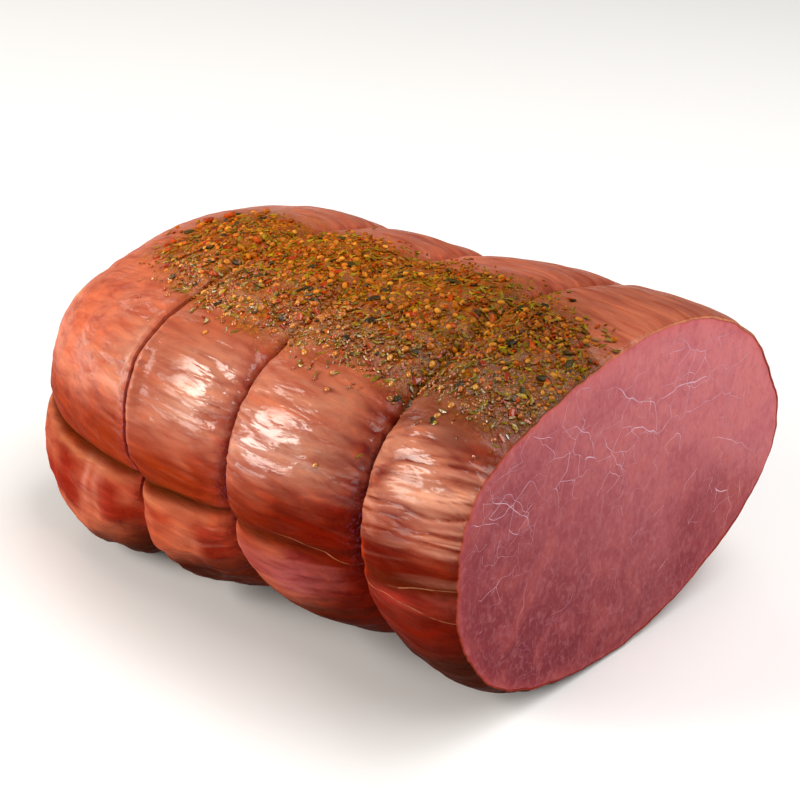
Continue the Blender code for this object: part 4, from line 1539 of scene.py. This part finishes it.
def scatter_tree():
    """Geometry nodes that strew seeded, varied copies of small shapes over a painted surface."""
    tree = bpy.data.node_groups.new("strew_seasoning", "GeometryNodeTree")
    tree.is_modifier = True
    sockets = tree.interface
    floats = [(name, "Float") for name in ("Spacing", "Density", "Smallest", "Largest", "Tilt", "Lift")]
    others = [("Surface", "Geometry"), ("Shapes", "Collection"), ("Cover", "String")]
    for name, kind in others + floats + [("Seed", "Int"), ("Finish", "Material")]:
        sockets.new_socket(name, in_out="INPUT", socket_type=f"NodeSocket{kind}")
    sockets.new_socket("Seasoning", in_out="OUTPUT", socket_type="NodeSocketGeometry")
    given = tree.nodes.new("NodeGroupInput").outputs
    cover = add(tree, "GeometryNodeInputNamedAttribute", {"Name": given["Cover"]}, data_type="FLOAT")
    points = add(tree, "GeometryNodeDistributePointsOnFaces", {
        "Mesh": given["Surface"], "Distance Min": given["Spacing"], "Density Max": given["Density"],
        "Density Factor": cover.outputs["Attribute"], "Seed": given["Seed"]}, distribute_method="POISSON")
    shapes = add(tree, "GeometryNodeCollectionInfo", {
        "Collection": given["Shapes"], "Separate Children": True, "Reset Children": True})
    which = add(tree, "FunctionNodeRandomValue", {
        "Seed": given["Seed"], "Min": 0, "Max": 99}, data_type="INT")
    size = add(tree, "FunctionNodeRandomValue", {
        2: given["Smallest"], 3: given["Largest"], 8: given["Seed"]}, data_type="FLOAT")
    laid = add(tree, "GeometryNodeInstanceOnPoints", {
        "Points": points.outputs["Points"], "Instance": shapes.outputs["Instances"], "Pick Instance": True,
        "Instance Index": which.outputs[2], "Rotation": points.outputs["Rotation"], "Scale": size.outputs[1]})
    back = [times(tree, given["Tilt"], -1.0) for _ in range(2)]
    lean_low = add(tree, "ShaderNodeCombineXYZ", {"X": back[0], "Y": back[1], "Z": 0.0})
    lean_high = add(tree, "ShaderNodeCombineXYZ", {"X": given["Tilt"], "Y": given["Tilt"], "Z": math.tau})
    turn = add(tree, "FunctionNodeRandomValue", {
        0: lean_low.outputs[0], 1: lean_high.outputs[0], 8: given["Seed"]}, data_type="FLOAT_VECTOR")
    turned = add(tree, "GeometryNodeRotateInstances", {
        "Instances": laid.outputs[0], "Rotation": turn.outputs[0], "Local Space": True})
    up = add(tree, "ShaderNodeVectorMath", {
        0: points.outputs["Normal"], "Scale": given["Lift"]}, operation="SCALE")
    raised = add(tree, "GeometryNodeTranslateInstances", {
        "Instances": turned.outputs[0], "Translation": up.outputs[0], "Local Space": False})
    tint = add(tree, "FunctionNodeRandomValue", data_type="FLOAT")
    stored = add(tree, "GeometryNodeStoreNamedAttribute", {
        "Geometry": raised.outputs[0], "Name": "tint", "Value": tint.outputs[1]},
        data_type="FLOAT", domain="INSTANCE")
    real = add(tree, "GeometryNodeRealizeInstances", {"Geometry": stored.outputs[0]})
    done = add(tree, "GeometryNodeSetMaterial", {"Geometry": real.outputs[0], "Material": given["Finish"]})
    tree.links.new(done.outputs[0], tree.nodes.new("NodeGroupOutput").inputs["Seasoning"])
    return tree


def strew(kind, patch, length, seed, finish):
    """Strew one kind over the patch and return it as a plain mesh."""
    collection = bpy.data.collections.new(f"{kind.piece}_shapes")
    size = (length, length * kind.width, length * kind.thickness)
    for k, shape in enumerate(kind.make(kind.name, *size, kind.count, *kind.more)):
        bmesh.ops.recalc_face_normals(shape, faces=shape.faces)
        name = f"{kind.piece}_{k}"
        collection.objects.link(bpy.data.objects.new(name, finished(shape, name, smooth=True)))
    carrier = link(f"{kind.piece}_carrier", patch.copy())
    modifier = carrier.modifiers.new("strew", "NODES")
    modifier.node_group = bpy.data.node_groups.get("strew_seasoning") or scatter_tree()
    settings = {
        "Shapes": collection, "Cover": f"cover_{kind.name}", "Spacing": kind.spacing,
        "Density": float(kind.density), "Smallest": STREWN_SIZES[0], "Largest": STREWN_SIZES[1],
        "Tilt": kind.tilt, "Lift": length * kind.lift, "Seed": seed, "Finish": finish}
    for socket in modifier.node_group.interface.items_tree:
        if socket.name in settings:
            modifier[socket.identifier] = settings[socket.name]
    bpy.context.view_layer.update()
    depsgraph = bpy.context.evaluated_depsgraph_get()
    mesh = bpy.data.meshes.new_from_object(carrier.evaluated_get(depsgraph))
    carrier.modifiers.clear()
    bpy.data.objects.remove(carrier, do_unlink=True)
    for piece in list(collection.objects):
        bpy.data.objects.remove(piece, do_unlink=True)
    bpy.data.collections.remove(collection)
    if not mesh.polygons:
        raise RuntimeError(f"no {kind.piece} was laid on the strip")
    mesh.name = kind.piece
    return mesh


# What a user can change

def length_property(name, description, default):
    """A length that a user can change."""
    return bpy.props.FloatProperty(name=name, description=description, default=default, min=0, unit="LENGTH",
                                   precision=5)


def power_property(name, description, default):
    """The power of a light that a user can change."""
    return bpy.props.FloatProperty(name=name, description=description, default=default, min=0, unit="POWER")


def colour_property(name, description, default):
    """A colour that a user can change."""
    return bpy.props.FloatVectorProperty(name=name, description=description, default=default, size=4, min=0,
                                         max=1, subtype="COLOR")


class SkinSettings(bpy.types.PropertyGroup):
    """Relief and colours of the cured skin."""
    pleat_height: length_property("Pleat height", "Height of the short folds beside the tie marks", 0.0014)
    fold_height: length_property("Wrinkle height", "Height of the slow wrinkles of the skin", 0.00030)
    tie_notch: length_property("Tie notch", "Depth of the narrow notch at the bottom of a tie mark", 0.0010)
    seam_crease: length_property("Fold crease", "Extra depth of the lengthwise fold's crease", 0.0016)
    under_lumps: length_property("Lumps", "Height of the lumps of the under muscle", 0.0007)
    ground_height: length_property("Seasoning bumps", "Height of the packed seasoning's bumps", 0.0005)
    salmon: colour_property("Salmon", "Pink brown of the near shoulder", srgb(168, 94, 70))
    tan: colour_property("Tan", "Paler brown of the near shoulder", srgb(178, 118, 93))
    upper: colour_property("Upper side", "Brown between the shoulder and the seasoning", srgb(156, 76, 50))
    blush: colour_property("Blush", "Paler pink of the rounded end", srgb(188, 93, 63))
    browned: colour_property("Browned", "Brown of the upper side beside the cut", srgb(92, 42, 28))
    # The next three reds are partly the meat's own colour and partly painted shade, low on the side and at
    # the end of the third swell
    red_brown: colour_property("Red brown", "Red brown below the shoulder", srgb(140, 56, 34))
    low_red: colour_property("Low red", "Red low on the side, towards the rounded end", srgb(126, 38, 4))
    deep_red: colour_property("Deep red", "Dark red low on the side, towards the cut", srgb(90, 13, 0))
    cut_edge: colour_property("Cut edge", "Orange red of the skin beside the cut", srgb(122, 38, 18))
    top: colour_property("Top", "Brown of the bare top", srgb(178, 97, 71))
    far: colour_property("Far side", "Brown of the far side", srgb(158, 82, 58))
    under_pink: colour_property("Under muscle", "Pink of the under muscle", srgb(164, 82, 56))
    under_red: colour_property("Under muscle, red", "Red of the under muscle", srgb(128, 26, 4))
    band: colour_property("Band", "Mauve band below the fold", srgb(154, 82, 76))
    sheen: colour_property("Sheen", "Pale streaks of the far side", srgb(186, 126, 104))
    membrane: colour_property("Membrane", "Pale membrane on the under muscle", srgb(194, 132, 114))
    # Partly painted light: the lit top of the under muscle below the fold
    ledge: colour_property("Ledge", "Tan of the under muscle just below the fold", srgb(186, 116, 80))
    mauve: colour_property("Mauve", "Mauve patch of the under muscle", srgb(168, 88, 92))
    rosy: colour_property("Rosy", "Red patch below the fold beside the cut", srgb(150, 34, 24))
    dusky: colour_property("Dusky", "Dull pink streaks below the fold beside the cut", srgb(146, 66, 54))
    swell_edge: colour_property("Swell's edge", "Orange red where the last swell starts", srgb(156, 48, 16))
    fat_spot: colour_property("Fat spot", "Yellow spot of fat at the rounded end", srgb(226, 160, 86))
    # Painted shade of the underside
    bottom: colour_property("Bottom", "Dark brown of the underside", srgb(52, 16, 2))
    # The next three are painted shade: in the tie marks and the swells' ends beside them, in the pleats'
    # valleys and in the fold's crease
    groove: colour_property("Tie marks", "Dark red of the tie marks", srgb(108, 18, 2))
    tie_red: colour_property("Tie marks, pale", "Red of the shallower tie marks", srgb(150, 52, 32))
    crease: colour_property("Creases", "Dark brown of the deepest creases", srgb(66, 28, 4))
    # Painted highlights on the pleats' crests and where each swell starts
    rim: colour_property("Rims", "Pale pink of the tightest skin", srgb(222, 158, 132))


class CutSettings(bpy.types.PropertyGroup):
    """Marbling of the cut."""
    vein_width: length_property("Vein width", "Width of the widest fine veins of fat", 0.00048)
    twig_share: bpy.props.FloatProperty(
        name="Twigs", description="Share of the veins' joints that carry a side twig", default=0.70, min=0,
        max=1, subtype="FACTOR")


class SeasoningSettings(bpy.types.PropertyGroup):
    """Sizes and amounts of the seasoning."""
    mustard: length_property("Mustard seed", "Length of a mustard seed", 0.0018)
    coriander: length_property("Coriander bit", "Length of a bit of brown coriander", 0.0018)
    herb: length_property("Herb", "Length of a piece of dried herb", 0.0026)
    dark: length_property("Dark leaf", "Length of a crumb of dark leaf", 0.0022)
    red: length_property("Red flake", "Length of a red pepper flake", 0.0023)
    crumb: length_property("Crumb", "Length of a fine crumb of spice", 0.0010)
    seed: bpy.props.IntProperty(name="Seed", description="Start of the random draw", default=7, min=0)


class StageSettings(bpy.types.PropertyGroup):
    """Light and camera."""
    main_power: power_property("Main light", "Power of the main soft light", 9.4)
    side_power: power_property("Side light", "Power of the soft light on the cut", 4.2)
    left_power: power_property("Left light", "Power of the soft light on the rounded end", 0.8)
    top_power: power_property("Top light", "Power of the soft light above", 4.5)
    sky: bpy.props.FloatProperty(
        name="Surroundings", description="Brightness of the pale surroundings", default=0.22, min=0)
    lens: bpy.props.FloatProperty(
        name="Lens", description="Focal length of the camera in millimetres", default=CAMERA_LENS, min=1)


# Steps that build the pieces and the stage

def rimmed_skin(x, angle, sizes):
    """The skin's rings and their colours, ending in the rim of the cut and the recess for the meat."""
    rows = list(skin_places(x, angle, fine_relief(x, angle, sizes)))
    colours = list(skin_colours(x, angle, sizes))
    outline = rows[-1]
    rows[-1] = outline - np.array((RIM_WIDTH / 3, 0, 0))
    rows += [inset(outline, RIM_WIDTH / 3), inset(outline, RIM_WIDTH)]
    rows.append(rows[-1] - np.array((RECESS_DEPTH, 0, 0)))
    rim = mix(srgb(*RIM_RED), srgb(*RIM_BROWN), fade(angle[-1], 150, 45))
    rim = mix(rim, srgb(*RIM_PALE), fade(angle[-1], 72, 36))
    rim = mix(colours[-1], rim, np.full(SKIN_SIDES, RIM_SHARE))
    return np.array(rows), np.array(colours + [rim, rim, rim])


class PASTRAMI_OT_skin(bpy.types.Operator):
    """Make the cured skin of the roast, with its pleats, tie marks and lengthwise fold"""
    bl_idname = "pastrami.skin"
    bl_label = "Skin"

    def execute(self, context):
        xs = skin_rings()
        angle = skin_angles(xs, SKIN_SIDES)
        x = np.repeat(xs[:, None], SKIN_SIDES, 1)
        rows, colours = rimmed_skin(x, angle, context.scene.pastrami_skin)
        first = rows[0].mean(0) - np.array((POLE_REACH, 0, 0))
        mesh = mesh_of_rings("roast_skin", rows, first, rows[-1].mean(0))
        poles = [colours[0].mean(0), colours[-1].mean(0)]
        paint(mesh, "skin_colour", np.concatenate([colours.reshape(-1, 4), poles]))
        cover = strip_cover(x, angle + 3.5 * noise(x / 0.007, angle / 4, SEED + 8, 90))
        wet = tie_closeness(x, TIE_NOTCH_REACH) * fade(angle, 172, 16) * np.where(x < 0, 0.5, 1)
        painted = {"season_cover": cover, "tie_wet": wet, "gloss": skin_gloss(x, angle)}
        painted.update(fat_lines(x, angle))
        # The rim, the recess and the two poles carry none of these
        spare = np.zeros(3 * SKIN_SIDES + 2)
        for name, values in painted.items():
            paint(mesh, name, np.concatenate([values.ravel(), spare]))
        mesh.materials.append(skin_material())
        declare(link("roast_skin", mesh), "cured_skin", "pastrami")
        return {"FINISHED"}


class PASTRAMI_OT_cut(bpy.types.Operator):
    """Make the cut face of the roast"""
    bl_idname = "pastrami.cut"
    bl_label = "Cut"

    def execute(self, context):
        x = np.full(FACE_SIDES, CUT_X)
        angle = skin_angles(np.array([CUT_X]), FACE_SIDES)[0]
        outline = skin_places(x, angle, fine_relief(x, angle, context.scene.pastrami_skin))
        outline = inset(outline, RIM_WIDTH - RIM_OVERLAP)
        middle = outline.mean(0)
        back = outline - np.array((RECESS_DEPTH - RIM_OVERLAP, 0, 0))
        rows = [back]
        for k in range(FACE_RINGS):
            share = 1 - (k / FACE_RINGS) ** FACE_CROWDING
            row = middle + (outline - middle) * share
            row[:, 0] = cut_surface(row[:, 1], row[:, 2]) - FACE_EDGE_DIP * math.exp(-k / FACE_EDGE_RINGS)
            rows.append(row)
        last = middle.copy()
        last[0] = float(cut_surface(middle[1], middle[2]))
        mesh = mesh_of_rings("cut_face", np.array(rows), back.mean(0), last)
        places = np.concatenate([np.array(rows).reshape(-1, 3), [middle, middle]])
        from_edge = np.linalg.norm((np.array(rows) - outline)[..., 1:], axis=-1).ravel()
        from_edge = np.concatenate([from_edge, [SECTIONS[-1].half_height] * 2])
        paint(mesh, "cut_colour", cut_colours(places[:, 1], places[:, 2], from_edge))
        mesh.materials.append(face_material())
        declare(link("cut_face", mesh), "cut_meat")
        return {"FINISHED"}


class PASTRAMI_OT_marbling(bpy.types.Operator):
    """Make the fine veins of fat on the cut"""
    bl_idname = "pastrami.marbling"
    bl_label = "Marbling"

    def execute(self, context):
        shape = bmesh.new()
        shape.verts.layers.float.new("vein_tone")
        for path, pale in vein_paths(context.scene.pastrami_cut):
            ribbon(shape, path, pale)
        bmesh.ops.recalc_face_normals(shape, faces=shape.faces)
        mesh = finished(shape, "marbling")
        mesh.shade_smooth()
        mesh.materials.append(marbling_material())
        declare(link("marbling", mesh), "cut_meat")
        return {"FINISHED"}


class PASTRAMI_OT_seasoning(bpy.types.Operator):
    """Lay the seeds, flakes, herbs and crumbs on the strip along the top"""
    bl_idname = "pastrami.seasoning"
    bl_label = "Seasoning"

    def execute(self, context):
        sizes = context.scene.pastrami_seasoning
        patch = strip_patch()
        large = large_toppings()
        large["red_piece"] = red_pieces()
        for number, kind in enumerate(KINDS):
            finish = seasoning_material(kind.finish, **FINISHES[kind.finish])
            mesh = strew(kind, patch, getattr(sizes, kind.name), sizes.seed + number, finish)
            if kind.large:
                shapes = [shape for name in kind.large for shape in large[name]]
                mesh = join(kind.piece, shapes, [mesh])
                mesh.materials.clear()
                mesh.materials.append(finish)
                mesh.shade_smooth()
            declare(link(kind.piece, mesh), kind.slot)
        bpy.data.meshes.remove(patch)
        return {"FINISHED"}


def direction(azimuth, elevation):
    """Unit vector from the object towards a view: azimuth 0 is seen from -Y, 90 from +X."""
    a, e = math.radians(azimuth), math.radians(elevation)
    return Vector((math.sin(a) * math.cos(e), -math.cos(a) * math.cos(e), math.sin(e)))


def aim(name, data, azimuth, elevation, distance):
    """A new light or camera that points at the roast from a distance."""
    piece = link(name, data)
    towards = direction(azimuth, elevation)
    piece.location = Vector(CAMERA_TARGET) + towards * distance
    piece.rotation_euler = towards.to_track_quat("Z", "Y").to_euler()
    return piece


def soft_light(light, power):
    """A rectangular area light that points at the roast."""
    name = f"{light.name}_light"
    lamp = bpy.data.lights.new(name, "AREA")
    lamp.shape = "RECTANGLE"
    lamp.size, lamp.size_y = light.width, light.height
    lamp.energy = power
    lamp.color = light.colour
    aim(name, lamp, light.azimuth, light.elevation, LIGHT_DISTANCE)


class PASTRAMI_OT_stage(bpy.types.Operator):
    """Set the pale floor, the soft lights, the surroundings and the camera"""
    bl_idname = "pastrami.stage"
    bl_label = "Stage"

    def execute(self, context):
        settings = context.scene.pastrami_stage
        shape = bmesh.new()
        bmesh.ops.create_grid(shape, x_segments=1, y_segments=1, size=FLOOR_SIZE / 2)
        mesh = finished(shape, "floor")
        mesh.materials.append(floor_material())
        link("floor", mesh)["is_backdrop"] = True
        for light in LIGHTS:
            soft_light(light, getattr(settings, f"{light.name}_power"))
        world = bpy.data.worlds.new("surroundings")
        world.use_nodes = True
        background = world.node_tree.nodes["Background"].inputs
        background["Color"].default_value = (1, 1, 1, 1)
        background["Strength"].default_value = settings.sky
        context.scene.world = world
        context.scene.view_settings.view_transform = "Standard"
        lens = bpy.data.cameras.new("camera")
        lens.lens = settings.lens
        lens.shift_x, lens.shift_y = CAMERA_SHIFT
        camera = aim("camera", lens, CAMERA_AZIMUTH, CAMERA_ELEVATION, CAMERA_DISTANCE)
        context.scene.camera = camera
        return {"FINISHED"}


class PASTRAMI_PT_panel(bpy.types.Panel):
    """Sizes, colours and steps of the pastrami"""
    bl_idname = "PASTRAMI_PT_panel"
    bl_label = "Beef pastrami"
    bl_space_type = "VIEW_3D"
    bl_region_type = "UI"
    bl_category = "Pastrami"

    def draw(self, context):
        for group, steps in LAYOUT.items():
            box = self.layout.box()
            settings = getattr(context.scene, group)
            for name in settings.__annotations__:
                box.prop(settings, name)
            for step in steps:
                box.operator(step.bl_idname)


GROUPS = {
    "pastrami_skin": SkinSettings,
    "pastrami_cut": CutSettings,
    "pastrami_seasoning": SeasoningSettings,
    "pastrami_stage": StageSettings,
}
LAYOUT = {
    "pastrami_skin": (PASTRAMI_OT_skin,),
    "pastrami_cut": (PASTRAMI_OT_cut, PASTRAMI_OT_marbling),
    "pastrami_seasoning": (PASTRAMI_OT_seasoning,),
    "pastrami_stage": (PASTRAMI_OT_stage,),
}
STEPS = tuple(step for steps in LAYOUT.values() for step in steps)
CLASSES = (*GROUPS.values(), *STEPS, PASTRAMI_PT_panel)


def register():
    """Make the settings, steps and panel known to Blender."""
    for known in CLASSES:
        bpy.utils.register_class(known)
    for name, group in GROUPS.items():
        setattr(bpy.types.Scene, name, bpy.props.PointerProperty(type=group))


def unregister():
    """Take them away again."""
    for name in GROUPS:
        delattr(bpy.types.Scene, name)
    for known in reversed(CLASSES):
        bpy.utils.unregister_class(known)


def main():
    """Build everything."""
    register()
    bpy.ops.pastrami.skin()
    bpy.ops.pastrami.cut()
    bpy.ops.pastrami.marbling()
    bpy.ops.pastrami.seasoning()
    bpy.ops.pastrami.stage()
    boxes = {"cad": CAD_BOX, "visual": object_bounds()}
    {name: [list(corner) for corner in box] for name, box in boxes.items()}


if __name__ == "__main__":
    main()
